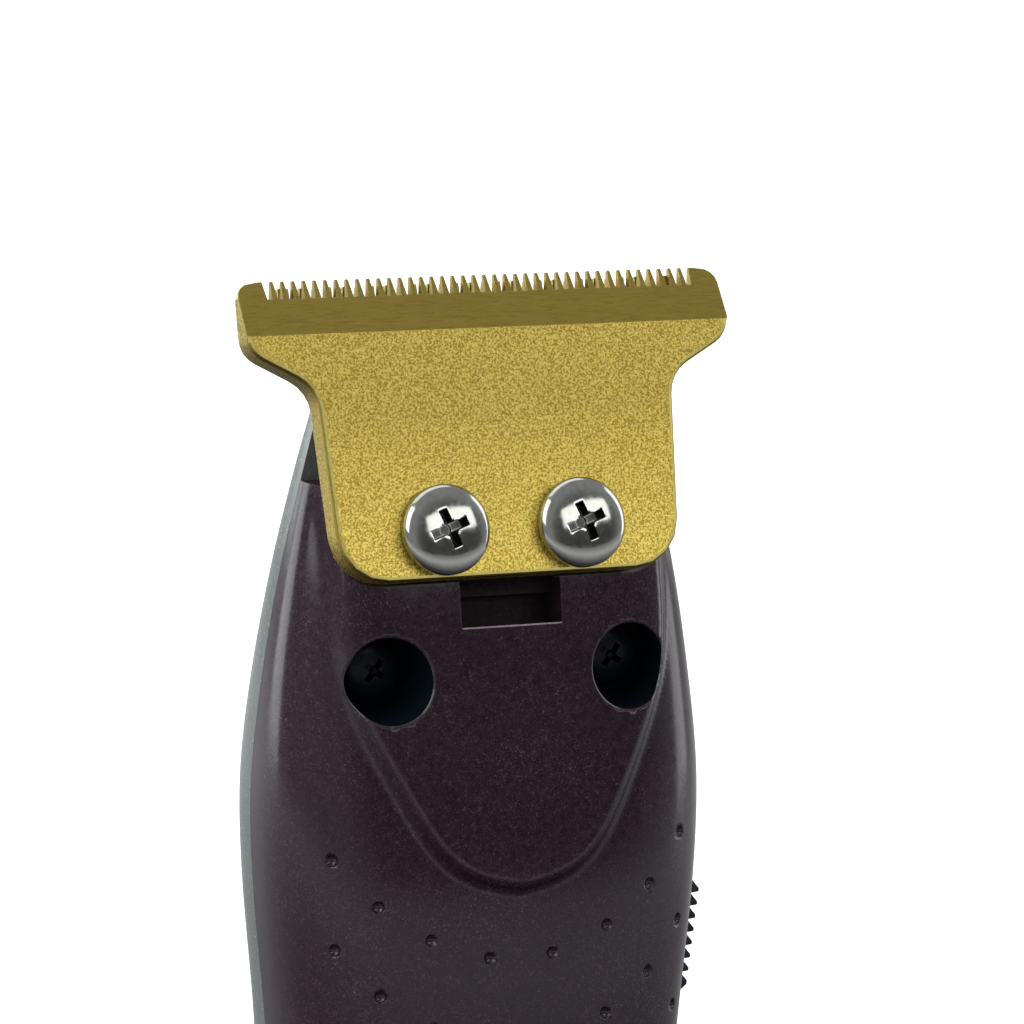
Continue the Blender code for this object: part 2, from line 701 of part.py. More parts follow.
def make_screw(
    name, at, face, head_radius, head_height, radius, reach, parent=None, turn=0.0, recipe=NICKEL
):
    """A pan-head screw along Y: its head rises to -Y from face, its shank ends at reach."""
    bm = bmesh.new()
    pan_head(bm, head_radius, head_height, face, at)
    screw = add_object(name, bm, recipe, parent)
    shank = new_rod(radius, face - head_height / 2, reach, at=at, axis="Y", points=SMALL_ROUND)
    join(screw, add_helper(f"add_shank_{name}", shank, parent))
    arm, half = head_radius * 0.56, head_radius * 0.13
    cross = bmesh.new()
    depth = head_height * 0.62
    outline = [
        (arm, half), (half, half), (half, arm), (-half, arm), (-half, half), (-arm, half),
        (-arm, -half), (-half, -half), (-half, -arm), (half, -arm), (half, -half), (arm, -half),
    ]
    spin = Matrix.Rotation(turn, 2)
    turned = [spin @ Vector(point) + Vector(at) for point in outline]
    prism(cross, turned, face - head_height - MM, face - head_height + depth)
    cut(screw, add_helper(f"cut_cross_{name}", cross, parent))


def make_blade_screws(head):
    for side, across in blade_screw_places():
        make_screw(
            f"blade_screw_{side}",
            (across, -BLADE_SCREW_DROP),
            -RUNNING_GAP,
            BLADE_SCREW_HEAD_RADIUS,
            BLADE_SCREW_HEAD_HEIGHT,
            BLADE_SCREW_RADIUS,
            screw_reach(),
            head,
            math.radians(20),
        )


def well_places():
    """(name, x, height) of each housing screw well."""
    neck, base = drop_height(NECK_WELL_DROP), BASE_WELL_HEIGHT
    for side, sign in (("left", -1), ("right", 1)):
        yield f"neck_{side}", sign * WELL_SPREAD, neck
        yield f"base_{side}", sign * BASE_WELL_SPREAD, base


def shield_outline(grow):
    """The U round the wells, from above the blade's foot down to its own lowest point."""
    top = drop_height(BLADE_LENGTH - 6 * MM)
    low = drop_height(SHIELD_BOTTOM_DROP) - grow
    half = SHIELD_HALF_WIDTH + grow
    bend = drop_height(NECK_WELL_DROP)
    return mirrored(
        [
            (half * 0.99, top, 0),
            (half, bend - 2.0 * MM, 6.0 * MM),
            (half * 0.50, low + 2.2 * MM, 5.0 * MM),
            (half * 0.18, low, 3.0 * MM),
        ]
    )


def shell_low():
    return CAP_HEIGHT + SEAM_GAP


def new_shield():
    """A block in the U's outline, a little wider towards the body, to meet the raised surface."""
    bm = bmesh.new()
    rings = []
    for grow, depth in ((0, -BODY_HALF_DEPTH - 4 * MM), (SHIELD_DRAFT, -SEAM_GAP)):
        rings.append([(point[0], depth, point[1]) for point in shield_outline(grow)])
    loft(bm, rings)
    return bm


def half_space(sign, top):
    """The half of space on one side of the seam, up to a height."""
    edges = sorted((sign * SEAM_GAP / 2, sign * FAR))
    return new_box((-FAR, FAR), edges, (-FAR, top))


def new_skin(name, recipe, raised=()):
    """The body's closed skin, with anything that stands up from it, before it is hollowed."""
    skin = add_object(name, new_body(shell_low(), drop_height(REAR_NECK_DROP)), recipe, smooth=True)
    return join(skin, *raised)


def trim(shell, sign, top):
    """Leaves what lies on one side of the seam, up to a height."""
    keep(shell, add_helper(f"keep_{shell.name}", half_space(sign, top)))


def new_bosses(sign, radius, name, filled):
    """Posts round the housing screws, across the seam and into the wall, but not through it."""
    edges = sorted((-sign * PAST, sign * BODY_HALF_DEPTH))
    for place, across, height in well_places():
        boss = new_rod(radius, edges[0], edges[1], at=(across, height), axis="Y")
        boss = add_helper(f"add_{name}_{place}", boss)
        keep(boss, filled)
        yield boss


def make_front_housing(head, switch, inner, filled):
    raised = add_helper(
        "add_shield", new_body(shell_low() + PAST, drop_height(REAR_NECK_DROP) - PAST, SHIELD_RISE)
    )
    keep(raised, add_helper("keep_shield", new_shield()))
    shell = new_skin("front_housing", PLUM, [raised])
    cut(shell, inner)
    join(shell, *new_bosses(-1, WELL_RADIUS + WELL_WALL, "well", filled))
    foot = -BLADE_LENGTH + 0.6 * MM
    ledge = -BLADE_LENGTH - POCKET_LEDGE
    low = -BLADE_LENGTH - POCKET_LENGTH
    floor = BLADE_THICK + POCKET_DEPTH - POCKET_LEDGE / 2
    pad = new_box(
        (-POCKET_HALF_WIDTH - POCKET_RIM, POCKET_HALF_WIDTH + POCKET_RIM),
        (BLADE_THICK + 0.6 * MM, floor + POCKET_RIM),
        (low - POCKET_RIM, foot - 0.2 * MM),
    )
    join(shell, add_helper("add_pocket_pad", pad, head))
    trim(shell, -1, drop_height(FRONT_NECK_DROP))
    seat = new_prism(mirrored(blade_side(HOLE_GAP)), -FAR, BLADE_THICK + RUNNING_GAP)
    cut(shell, add_helper("cut_blade_seat", seat, head))
    stepped = [
        (-FAR, foot), (floor - POCKET_LEDGE, foot), (floor - POCKET_LEDGE, ledge),
        (floor, ledge), (floor, low), (-FAR, low),
    ]
    hollow = new_prism(stepped, -POCKET_HALF_WIDTH, POCKET_HALF_WIDTH, axis="X")
    cut(shell, add_helper("cut_pocket", hollow, head))
    cut_screw_holes(shell, head, -MM, clamp_face() + MM)
    for name, across, height in well_places():
        hollow = new_rod(WELL_RADIUS, -FAR, -WELL_FLOOR_DEPTH, at=(across, height), axis="Y")
        hole = new_rod(
            HOUSING_SCREW_RADIUS + HOLE_GAP, -WELL_FLOOR_DEPTH - PAST, PAST, at=(across, height), axis="Y"
        )
        cut(shell, add_helper(f"cut_well_{name}", hollow), add_helper(f"cut_well_hole_{name}", hole))
    window = new_rod(LIGHT_RADIUS + HOLE_GAP / 2, -FAR, 0, at=(0, LIGHT_HEIGHT), axis="Y")
    cut(shell, add_helper("cut_light_window", window))
    cut_switch_opening(shell, switch)


def make_rear_housing(switch, inner, filled):
    shell = new_skin("rear_housing", GREY)
    cut(shell, inner)
    join(shell, *new_bosses(1, HOUSING_SCREW_RADIUS + SCREW_BOSS_WALL, "boss", filled))
    trim(shell, 1, drop_height(REAR_NECK_DROP) + PAST)
    for name, across, height in well_places():
        pilot = new_rod(
            HOUSING_SCREW_RADIUS + 2 * RUNNING_GAP,
            -MM,
            HOUSING_SCREW_REACH + REST_GAP,
            at=(across, height),
            axis="Y",
        )
        cut(shell, add_helper(f"cut_pilot_{name}", pilot))
    cut_switch_opening(shell, switch)


def make_housing_screws():
    for name, across, height in well_places():
        make_screw(
            f"housing_screw_{name}",
            (across, height),
            -WELL_FLOOR_DEPTH - RUNNING_GAP,
            HOUSING_SCREW_HEAD_RADIUS,
            HOUSING_SCREW_HEAD_HEIGHT,
            HOUSING_SCREW_RADIUS,
            HOUSING_SCREW_REACH,
            turn=math.radians(35),
            recipe=BLACK_OXIDE,
        )


def motor_outline(shrink=0.0):
    """A circle with two flats, across the motor."""
    radius, flat = MOTOR_HALF_WIDTH - shrink, MOTOR_HALF_FLAT - shrink
    edge = math.asin(flat / radius)
    outline = []
    for start, end in ((-edge, edge), (math.pi - edge, math.pi + edge)):
        for step in range(9):
            turn = start + (end - start) * step / 8
            outline.append((radius * math.cos(turn), radius * math.sin(turn)))
    return outline


def motor_bottom():
    return drop_height(MOTOR_TOP_DROP) - MOTOR_LENGTH


def make_motor(axis):
    """The still parts of the motor. axis is the empty on its axis, at z = 0."""
    top, low = drop_height(MOTOR_TOP_DROP), motor_bottom()
    ceiling = top - 2 * MOTOR_WALL
    can = add_object("motor_can", new_prism(motor_outline(), low, top, axis="Z"), STEEL, axis)
    nose = new_rod(MOTOR_NOSE_RADIUS, top - MOTOR_WALL, top + MOTOR_NOSE_HEIGHT)
    join(can, add_helper("add_motor_nose", nose, axis))
    hollow = new_prism(motor_outline(MOTOR_WALL), low - MM, ceiling, axis="Z")
    bore = new_rod(SHAFT_RADIUS + HOLE_GAP, ceiling - MM, top + 2 * MOTOR_NOSE_HEIGHT)
    cut(can, add_helper("cut_motor_hollow", hollow, axis), add_helper("cut_motor_bore", bore, axis))
    bell_top = low - REST_GAP
    bell_low = bell_top - END_BELL_THICK
    bell = add_object("motor_end_bell", new_prism(motor_outline(), bell_low, bell_top, axis="Z"), WHITE, axis)
    bell_bore = new_rod(SHAFT_RADIUS + HOLE_GAP, bell_low - MM, bell_top + MM)
    cut(bell, add_helper("cut_bell_bore", bell_bore, axis))
    for side, sign in (("left", -1), ("right", 1)):
        middle = sign * MOTOR_HALF_WIDTH * 0.55
        tab = new_box(
            (middle - TERMINAL_HALF_WIDTH, middle + TERMINAL_HALF_WIDTH),
            (-TAB_THICK / 2, TAB_THICK / 2),
            (bell_low - RUNNING_GAP - TERMINAL_LENGTH, bell_low - RUNNING_GAP),
        )
        add_object(f"motor_terminal_{side}", tab, COPPER, axis)
        inner, outer = ARMATURE_RADIUS + MAGNET_GAP, MOTOR_HALF_WIDTH - MOTOR_WALL - HOLE_GAP
        arc = []
        spread = 0.7 * math.asin((MOTOR_HALF_FLAT - MOTOR_WALL) / outer)
        for radius, turns in ((outer, range(-4, 5)), (inner, range(4, -5, -1))):
            for step in turns:
                turn = spread * step / 4
                arc.append((sign * radius * math.cos(turn), radius * math.sin(turn)))
        magnet = new_prism(arc, low + MAGNET_MARGIN, ceiling - MAGNET_MARGIN, axis="Z")
        add_object(f"motor_magnet_{side}", magnet, GREY, axis)
        screw_x = sign * MOTOR_SCREW_SPREAD
        hole = new_rod(
            MOTOR_SCREW_RADIUS + RUNNING_GAP, ceiling - MM, top + MM, at=(screw_x, 0), points=SMALL_ROUND
        )
        cut(can, add_helper(f"cut_motor_thread_{side}", hole, axis))
    mount_low = top + REST_GAP
    mount = add_object(
        "motor_mount",
        new_box(
            (-MOUNT_HALF_WIDTH, MOUNT_HALF_WIDTH),
            (-MOUNT_FRONT, MOUNT_BACK),
            (mount_low, mount_low + MOUNT_THICK),
        ),
        BLACK,
        axis,
    )
    nose_hole = new_rod(MOTOR_NOSE_RADIUS + HOLE_GAP, mount_low - MM, mount_low + MOUNT_THICK + MM)
    cut(mount, add_helper("cut_mount_nose", nose_hole, axis))
    face = mount_low + MOUNT_THICK
    for side, sign in (("left", -1), ("right", 1)):
        place = (sign * MOTOR_SCREW_SPREAD, 0)
        hole = new_rod(MOTOR_SCREW_RADIUS + HOLE_GAP, mount_low - MM, face + MM, at=place, points=SMALL_ROUND)
        cut(mount, add_helper(f"cut_mount_hole_{side}", hole, axis))
        head_low = face + RUNNING_GAP
        head_top = head_low + MOTOR_SCREW_HEAD_HEIGHT
        screw_head = new_rod(MOTOR_SCREW_HEAD_RADIUS, head_low, head_top, at=place)
        screw = add_object(f"motor_screw_{side}", screw_head, NICKEL, axis)
        shank_low, shank_high = ceiling + HOLE_GAP, head_low + REST_GAP
        shank = new_rod(MOTOR_SCREW_RADIUS, shank_low, shank_high, at=place, points=SMALL_ROUND)
        join(screw, add_helper(f"add_motor_shank_{side}", shank, axis))
        slit = new_box(
            (place[0] - 2 * MOTOR_SCREW_HEAD_RADIUS, place[0] + 2 * MOTOR_SCREW_HEAD_RADIUS),
            (-MOTOR_SLIT_HALF, MOTOR_SLIT_HALF),
            (head_top - MOTOR_SLIT_DEPTH, head_top + PAST),
        )
        cut(screw, add_helper(f"cut_motor_slit_{side}", slit, axis))


def make_rotor(axis):
    """What spins: shaft, armature, hub and crank pin."""
    top, low = drop_height(MOTOR_TOP_DROP), motor_bottom()
    hub_low = top + HUB_LIFT
    hub_top = hub_low + HUB_HEIGHT
    socket = HUB_HEIGHT / 2
    shaft_low = low - REST_GAP - END_BELL_THICK * 0.6
    shaft = new_rod(SHAFT_RADIUS, shaft_low, hub_low + socket - HOLE_GAP)
    add_object("motor_shaft", shaft, STEEL, axis, True)
    ceiling = top - 2 * MOTOR_WALL
    core = new_rod(ARMATURE_RADIUS, low + ARMATURE_MARGIN, ceiling - ARMATURE_MARGIN)
    armature = add_object("motor_armature", core, COPPER, axis)
    bore = new_rod(SHAFT_RADIUS + RUNNING_GAP, low, ceiling)
    cut(armature, add_helper("cut_armature_bore", bore, axis))
    for index in range(3):
        sides = (-ARMATURE_SLOT_HALF, ARMATURE_SLOT_HALF)
        slot = new_box((ARMATURE_RADIUS * 0.55, 2 * ARMATURE_RADIUS), sides, (low, ceiling))
        turn = Matrix.Rotation(math.tau * index / 3, 4, "Z")
        bmesh.ops.transform(slot, matrix=turn, verts=slot.verts)
        cut(armature, add_helper(f"cut_armature_slot_{index + 1}", slot, axis))
    hub = add_object("eccentric_hub", new_rod(HUB_RADIUS, hub_low, hub_top), BLACK, axis)
    shaft_hole = new_rod(SHAFT_RADIUS + RUNNING_GAP, hub_low - MM, hub_low + socket)
    pin_low = hub_low + socket + REST_GAP + HOLE_GAP
    pin_at = (0, HALF_STROKE)
    hole_low = pin_low - 2 * RUNNING_GAP
    pin_hole = new_rod(PIN_RADIUS + RUNNING_GAP, hole_low, hub_top + MM, at=pin_at, points=SMALL_ROUND)
    cut(hub, add_helper("cut_hub_shaft", shaft_hole, axis), add_helper("cut_hub_pin", pin_hole, axis))
    pin = new_rod(PIN_RADIUS, pin_low, hub_top + PIN_LENGTH, at=pin_at, points=SMALL_ROUND)
    add_object("crank_pin", pin, STEEL, axis, True)


def cut_switch_opening(shell, switch):
    """A flat seat in the wall for the button to run on, and the slot that its stem passes through."""
    reach, side = BUTTON_HALF_LENGTH + 2 * HOLE_GAP, BUTTON_HALF_WIDTH + HOLE_GAP
    seat = new_box((-SEAT_DEPTH, FAR), (-side, side), (-reach, reach + SWITCH_TRAVEL))
    slot_side = STEM_HALF_THICK + HOLE_GAP
    slot_end = STEM_HALF_LENGTH + HOLE_GAP
    slot = new_box((-2 * SHELL_WALL, MM), (-slot_side, slot_side), (-slot_end, slot_end + SWITCH_TRAVEL))
    name = shell.name
    cut(shell, add_helper(f"cut_button_seat_{name}", seat, switch))
    cut(shell, add_helper(f"cut_button_slot_{name}", slot, switch))


def make_slide_button(switch):
    base, crest = -SEAT_DEPTH + SEAM_GAP / 2, BUTTON_RISE
    half = BUTTON_HALF_LENGTH
    pitch = 2 * (half - RIB_MARGIN) / BUTTON_RIBS
    outline = [(base, -half), (crest - RIB_HEIGHT, -half)]
    for index in range(BUTTON_RIBS):
        low = -half + RIB_MARGIN + index * pitch
        outline += [(crest, low + pitch * 0.12), (crest, low + pitch * 0.38)]
        outline.append((crest - RIB_HEIGHT, low + pitch))
    outline += [(crest - RIB_HEIGHT, half), (base, half)]
    button = add_object(
        "slide_button", new_prism(outline, -BUTTON_HALF_WIDTH, BUTTON_HALF_WIDTH), BLACK, switch
    )
    stem = new_box(
        (stem_end(), 0), (-STEM_HALF_THICK, STEM_HALF_THICK), (-STEM_HALF_LENGTH, STEM_HALF_LENGTH)
    )
    join(button, add_helper("add_button_stem", stem, switch))


def stem_end():
    return -SHELL_WALL - 0.6 * MM


def make_slide_switch(switch):
    face = stem_end() - 0.6 * MM
    back = face - SWITCH_BODY_THICK
    lever_low = face - 0.6 * SWITCH_BODY_THICK
    lever = new_box(
        (lever_low, stem_end() - RUNNING_GAP), (-LEVER_HALF, LEVER_HALF), (-LEVER_HALF, LEVER_HALF)
    )
    add_object("switch_lever", lever, WHITE, switch)
    half = SWITCH_BODY_HALF_LENGTH
    middle = SWITCH_TRAVEL / 2
    body = add_object(
        "switch_body",
        new_box(
            (back, face), (-SWITCH_BODY_HALF_WIDTH, SWITCH_BODY_HALF_WIDTH), (middle - half, middle + half)
        ),
        STEEL,
        switch,
    )
    end = LEVER_HALF + HOLE_GAP
    channel = new_box((lever_low - HOLE_GAP, face + MM), (-end, end), (-end, end + SWITCH_TRAVEL))
    cut(body, add_helper("cut_switch_channel", channel, switch))
    board = new_box(
        (back - REST_GAP - SWITCH_BOARD_THICK, back - REST_GAP),
        (-SWITCH_BODY_HALF_WIDTH - MM, SWITCH_BODY_HALF_WIDTH + MM),
        (middle - half - MM, middle + half + MM),
    )
    add_object("switch_board", board, BOARD_GREEN, switch)


def make_battery():
    low, high = BATTERY_BOTTOM, BATTERY_BOTTOM + BATTERY_LENGTH
    at = (0, BATTERY_DEPTH)
    cell = add_object("battery_cell", new_rod(BATTERY_RADIUS, low, high - MM, at=at), SLEEVE)
    nub = new_rod(BATTERY_RADIUS * 0.4, high - 2 * MM, high, at=at)
    join(cell, add_helper("add_battery_nub", nub))
    board_back = BOARD_FACE + BOARD_THICK
    spans = (
        ("lower", low - REST_GAP - TAB_THICK, low - 2 * REST_GAP - TAB_THICK - PAD_THICK),
        ("upper", high + REST_GAP, high + 2 * REST_GAP + TAB_THICK),
    )
    for name, tab_low, pad_low in spans:
        tab = new_box(
            (-TAB_HALF_WIDTH, TAB_HALF_WIDTH),
            (board_back + MM, BATTERY_DEPTH),
            (tab_low, tab_low + TAB_THICK),
        )
        add_object(f"battery_tab_{name}", tab, NICKEL)
        pad = new_rod(BATTERY_RADIUS - MM, pad_low, pad_low + PAD_THICK, at=at, points=SMALL_ROUND)
        add_object(f"battery_pad_{name}", pad, FOAM)


def make_board():
    back = BOARD_FACE + BOARD_THICK
    top = BOARD_BOTTOM + BOARD_LENGTH
    corners = [(BOARD_HALF_WIDTH, top, MM), (BOARD_HALF_WIDTH, BOARD_BOTTOM, MM)]
    add_object("main_board", new_prism(mirrored(corners), BOARD_FACE, back), BOARD_GREEN)
    part_low = back + RUNNING_GAP
    chip_low = LIGHT_HEIGHT + CHIP_LIFT
    chip = new_box(
        (-CHIP_HALF, CHIP_HALF), (part_low, part_low + CHIP_HEIGHT), (chip_low, chip_low + CHIP_LENGTH)
    )
    add_object("control_chip", chip, BLACK)
    coil_at = (COIL_ACROSS, BOARD_BOTTOM + CHARGE_LIFT)
    part_high = part_low + CHIP_HEIGHT
    coil = new_rod(COIL_RADIUS, part_low, part_high, at=coil_at, axis="Y")
    add_object("charge_coil", coil, COPPER)
    capacitor_at = (CAPACITOR_ACROSS, BOARD_BOTTOM + CHARGE_LIFT)
    capacitor = new_rod(
        CAPACITOR_RADIUS, part_low, part_high, at=capacitor_at, axis="Y", points=SMALL_ROUND
    )
    add_object("capacitor", capacitor, STEEL)
    led_high = BOARD_FACE - RUNNING_GAP
    led = new_box(
        (-LED_HALF, LED_HALF),
        (led_high - LED_HALF, led_high),
        (LIGHT_HEIGHT - LED_HALF, LIGHT_HEIGHT + LED_HALF),
    )
    add_object("status_led", led, WHITE)
    pipe_back = led_high - LED_HALF - 0.1 * MM
    front = front_reach(LIGHT_HEIGHT, 0) + 0.1 * MM
    pipe = new_rod(LIGHT_RADIUS, front, pipe_back, at=(0, LIGHT_HEIGHT), axis="Y")
    add_object("light_pipe", pipe, CLEAR, smooth=False)


def make_bottom_cap():
    bm = bmesh.new()
    edge = [ring_at(0, -CAP_EDGE), ring_at(CAP_EDGE * 0.35, -CAP_EDGE * 0.3)]
    loft(bm, edge + [ring_at(CAP_EDGE), ring_at(CAP_HEIGHT)])
    cap = add_object("bottom_cap", bm, BLACK)
    plug_top = CAP_HEIGHT + CAP_PLUG_HEIGHT
    plug_grow = -SHELL_WALL - HOLE_GAP
    plug = bmesh.new()
    loft(plug, [ring_at(CAP_HEIGHT - MM, plug_grow), ring_at(plug_top, plug_grow)])
    join(cap, add_helper("add_cap_plug", plug))
    hollow = bmesh.new()
    hollow_grow = plug_grow - CAP_PLUG_WALL
    loft(hollow, [ring_at(CAP_HEIGHT, hollow_grow), ring_at(plug_top + MM, hollow_grow)])
    cut(cap, add_helper("cut_cap_hollow", hollow))
    wide, deep = INLET_HALF_WIDTH + INLET_WALL + HOLE_GAP, INLET_HALF_DEPTH + INLET_WALL + HOLE_GAP
    inlet = new_box((-wide, wide), (-deep, deep), (-MM, 2 * CAP_HEIGHT))
    cut(cap, add_helper("cut_cap_inlet", inlet))


def make_charging_inlet():
    low, high = INLET_RECESS, INLET_RECESS + INLET_DEEP
    wide, deep = INLET_HALF_WIDTH + INLET_WALL, INLET_HALF_DEPTH + INLET_WALL
    inlet = add_object(
        "charging_inlet", new_box((-wide, wide), (-deep, deep), (low, high + INLET_WALL)), BLACK
    )
    hollow = new_box(
        (-INLET_HALF_WIDTH, INLET_HALF_WIDTH), (-INLET_HALF_DEPTH, INLET_HALF_DEPTH), (-MM, high)
    )
    cut(inlet, add_helper("cut_inlet_hollow", hollow))
    for side, sign in (("left", -1), ("right", 1)):
        at = (sign * (INLET_HALF_WIDTH - INLET_CONTACT_EDGE), INLET_HALF_DEPTH - INLET_CONTACT_BACK)
        pin_low, pin_high = low + INLET_DEEP / 2, high - 2 * RUNNING_GAP
        pin = new_rod(INLET_CONTACT_RADIUS, pin_low, pin_high, at=at, points=SMALL_ROUND)
        add_object(f"inlet_contact_{side}", pin, BRASS)


def main():
    clear_scene()
    head = empty("head_frame", (0, TIP_DEPTH, TOTAL_LENGTH), (-BLADE_TILT, 0, 0))
    motor_axis = empty("motor_axis", (0, MOTOR_DEPTH, 0))
    span = BUTTON_HALF_LENGTH
    wall_low = station_at(SWITCH_HEIGHT - span)[0]
    wall_high = station_at(SWITCH_HEIGHT + span)[0]
    lean = math.atan2(wall_high - wall_low, 2 * span)
    switch = empty("switch_frame", (station_at(SWITCH_HEIGHT)[0], 0, SWITCH_HEIGHT), (0, lean, 0))
    top = drop_height(REAR_NECK_DROP) + 2 * MM
    inner = add_helper("cut_body_inside", new_body(-2 * MM, top, -SHELL_WALL))
    filled = add_helper("keep_inside_skin", new_body(shell_low(), top, -SHELL_WALL / 2))
    make_fixed_blade(head)
    make_moving_cutter(head)
    make_follower(head)
    make_nut_plate(head)
    make_tension_spring(head)
    make_blade_screws(head)
    make_front_housing(head, switch, inner, filled)
    make_rear_housing(switch, inner, filled)
    make_housing_screws()
    make_motor(motor_axis)
    make_rotor(motor_axis)
    make_slide_button(switch)
    make_slide_switch(switch)
    make_battery()
    make_board()
    make_bottom_cap()
    make_charging_inlet()


main()
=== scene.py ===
import json
import math

import bmesh
import bpy
from mathutils import Matrix, Vector

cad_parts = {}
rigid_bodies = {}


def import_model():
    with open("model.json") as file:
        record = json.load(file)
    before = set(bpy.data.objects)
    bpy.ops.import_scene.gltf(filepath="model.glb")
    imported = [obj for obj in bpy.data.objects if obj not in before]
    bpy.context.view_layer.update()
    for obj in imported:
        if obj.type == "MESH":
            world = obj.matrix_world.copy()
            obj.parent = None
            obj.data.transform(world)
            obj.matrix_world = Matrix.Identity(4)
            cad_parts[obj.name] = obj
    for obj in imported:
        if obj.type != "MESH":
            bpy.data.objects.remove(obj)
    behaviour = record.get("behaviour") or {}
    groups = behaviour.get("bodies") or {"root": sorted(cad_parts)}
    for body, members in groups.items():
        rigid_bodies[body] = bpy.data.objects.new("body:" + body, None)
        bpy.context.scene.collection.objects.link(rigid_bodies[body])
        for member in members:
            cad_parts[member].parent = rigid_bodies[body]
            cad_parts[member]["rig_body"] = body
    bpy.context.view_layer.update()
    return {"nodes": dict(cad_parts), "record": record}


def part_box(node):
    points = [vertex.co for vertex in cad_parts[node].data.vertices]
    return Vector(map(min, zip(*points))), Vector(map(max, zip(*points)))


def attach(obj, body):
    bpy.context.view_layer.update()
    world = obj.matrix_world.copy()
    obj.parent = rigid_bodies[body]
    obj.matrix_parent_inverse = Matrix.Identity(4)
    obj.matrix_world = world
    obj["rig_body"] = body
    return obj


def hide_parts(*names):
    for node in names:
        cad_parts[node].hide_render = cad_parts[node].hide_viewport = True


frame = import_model()
print("frame loaded,", len(frame["nodes"]), "nodes")
mm = 0.001
nodes = frame["nodes"]
slotOf = {row["node"]: row["material_slot"] for row in frame["record"]["subparts"]}

# Camera: millimetres and degrees. Yaw is to the left of straight on.
cameraSetup = {
    "lookAt": (3.1, 0.0, 138.6),
    "distance": 353.0,
    "yaw": 22.1,
    "height": 11.3,
    "roll": 1.4,
    "lens": 158.2,
    "sensor": 36.0,
}


def makeCamera(setup):
    yaw, lift, roll = (math.radians(setup[key]) for key in ("yaw", "height", "roll"))
    outward = Vector((-math.sin(yaw) * math.cos(lift), -math.cos(yaw) * math.cos(lift), math.sin(lift)))
    right = (-outward).cross(Vector((0, 0, 1))).normalized()
    up = right.cross(-outward)
    rolledRight = math.cos(roll) * right + math.sin(roll) * up
    rolledUp = math.cos(roll) * up - math.sin(roll) * right
    data = bpy.data.cameras.new("studioCamera")
    data.lens = setup["lens"]
    data.sensor_width = setup["sensor"]
    data.clip_start = 0.01
    data.clip_end = 30.0
    camera = bpy.data.objects.new("studioCamera", data)
    turn = Matrix((rolledRight, rolledUp, outward)).transposed().to_4x4()
    place = Vector(setup["lookAt"]) + outward * setup["distance"]
    camera.matrix_world = Matrix.Translation(place * mm) @ turn
    bpy.context.scene.collection.objects.link(camera)
    bpy.context.scene.camera = camera


# Lamps: place in metres, size in metres, strength in watts, all aimed at the neck.
lampSetup = {
    "windowAbove": {"place": (0.46, -0.98, 0.70), "size": (1.0, 0.36), "watts": 2.6},
    "keyLeftHigh": {"place": (-0.85, -0.35, 0.75), "size": (0.7, 0.8), "watts": 4.6},
    "fillRight": {"place": (1.00, -0.02, 0.35), "size": (0.34, 1.0), "watts": 2.3},
    "topSheet": {"place": (-0.1, 0.25, 1.15), "size": (1.2, 0.8), "watts": 4.0},
    "rimBackLeft": {"place": (-0.80, 0.62, 0.42), "size": (0.5, 0.9), "watts": 4.2},
}
roomSetup = {
    "seenWhite": 1.0, "room": 0.40, "darkFront": 0.09, "brightBack": 2.5,
    "towardFront": (0.34, -0.92, 0.12),
    "towardBack": (0.30, 0.94, 0.05), "floor": (0.50, 0.50, 0.51, 1), "floorWorn": (0.55, 0.55, 0.56, 1),
    # The floor's near colour is a painted shadow: near-black within the given reach of the object.
    "floorNear": (0.04, 0.04, 0.045, 1), "nearReach": (0.12, 0.55),
}


def makeLamps(setup):
    for name, lamp in setup.items():
        data = bpy.data.lights.new(name, "AREA")
        data.shape = "RECTANGLE"
        data.size, data.size_y = lamp["size"]
        data.energy = lamp["watts"]
        lampObject = bpy.data.objects.new(name, data)
        place = Vector(lamp["place"])
        aim = Vector((0, 0, 0.12)) - place
        turn = aim.to_track_quat("-Z", "Y").to_matrix().to_4x4()
        lampObject.matrix_world = Matrix.Translation(place) @ turn
        bpy.context.scene.collection.objects.link(lampObject)


def makeRoom(setup):
    world = bpy.data.worlds.new("softRoom")
    bpy.context.scene.world = world
    world.use_nodes = True
    tree = world.node_tree
    tree.nodes.clear()
    new = tree.nodes.new
    link = tree.links.new
    coord = new("ShaderNodeTexCoord")

    def lobe(toward, start, end, low, high):
        dot, ramp = new("ShaderNodeVectorMath"), new("ShaderNodeMapRange")
        dot.operation = "DOT_PRODUCT"
        dot.inputs[1].default_value = Vector(toward).normalized()
        ramp.interpolation_type = "SMOOTHSTEP"
        for socket, value in (("From Min", start), ("From Max", end), ("To Min", low), ("To Max", high)):
            ramp.inputs[socket].default_value = value
        link(coord.outputs["Generated"], dot.inputs[0])
        link(dot.outputs["Value"], ramp.inputs["Value"])
        return ramp.outputs["Result"]

    total = new("ShaderNodeMath")
    total.operation = "ADD"
    link(lobe(setup["towardFront"], 0.64, 0.93, setup["room"], setup["darkFront"]), total.inputs[0])
    link(lobe(setup["towardBack"], 0.45, 0.80, 0.0, setup["brightBack"]), total.inputs[1])
    seen, unseen, mixed = new("ShaderNodeBackground"), new("ShaderNodeBackground"), new("ShaderNodeMixShader")
    seen.inputs["Strength"].default_value = setup["seenWhite"]
    seen.inputs["Color"].default_value = (1, 1, 1, 1)
    unseen.inputs["Color"].default_value = (0.96, 0.98, 1.0, 1)
    path, out = new("ShaderNodeLightPath"), new("ShaderNodeOutputWorld")
    link(total.outputs[0], unseen.inputs["Strength"])
    link(path.outputs["Is Camera Ray"], mixed.inputs["Fac"])
    link(unseen.outputs[0], mixed.inputs[1])
    link(seen.outputs[0], mixed.inputs[2])
    link(mixed.outputs[0], out.inputs["Surface"])
    bpy.context.scene.view_settings.view_transform = "Standard"


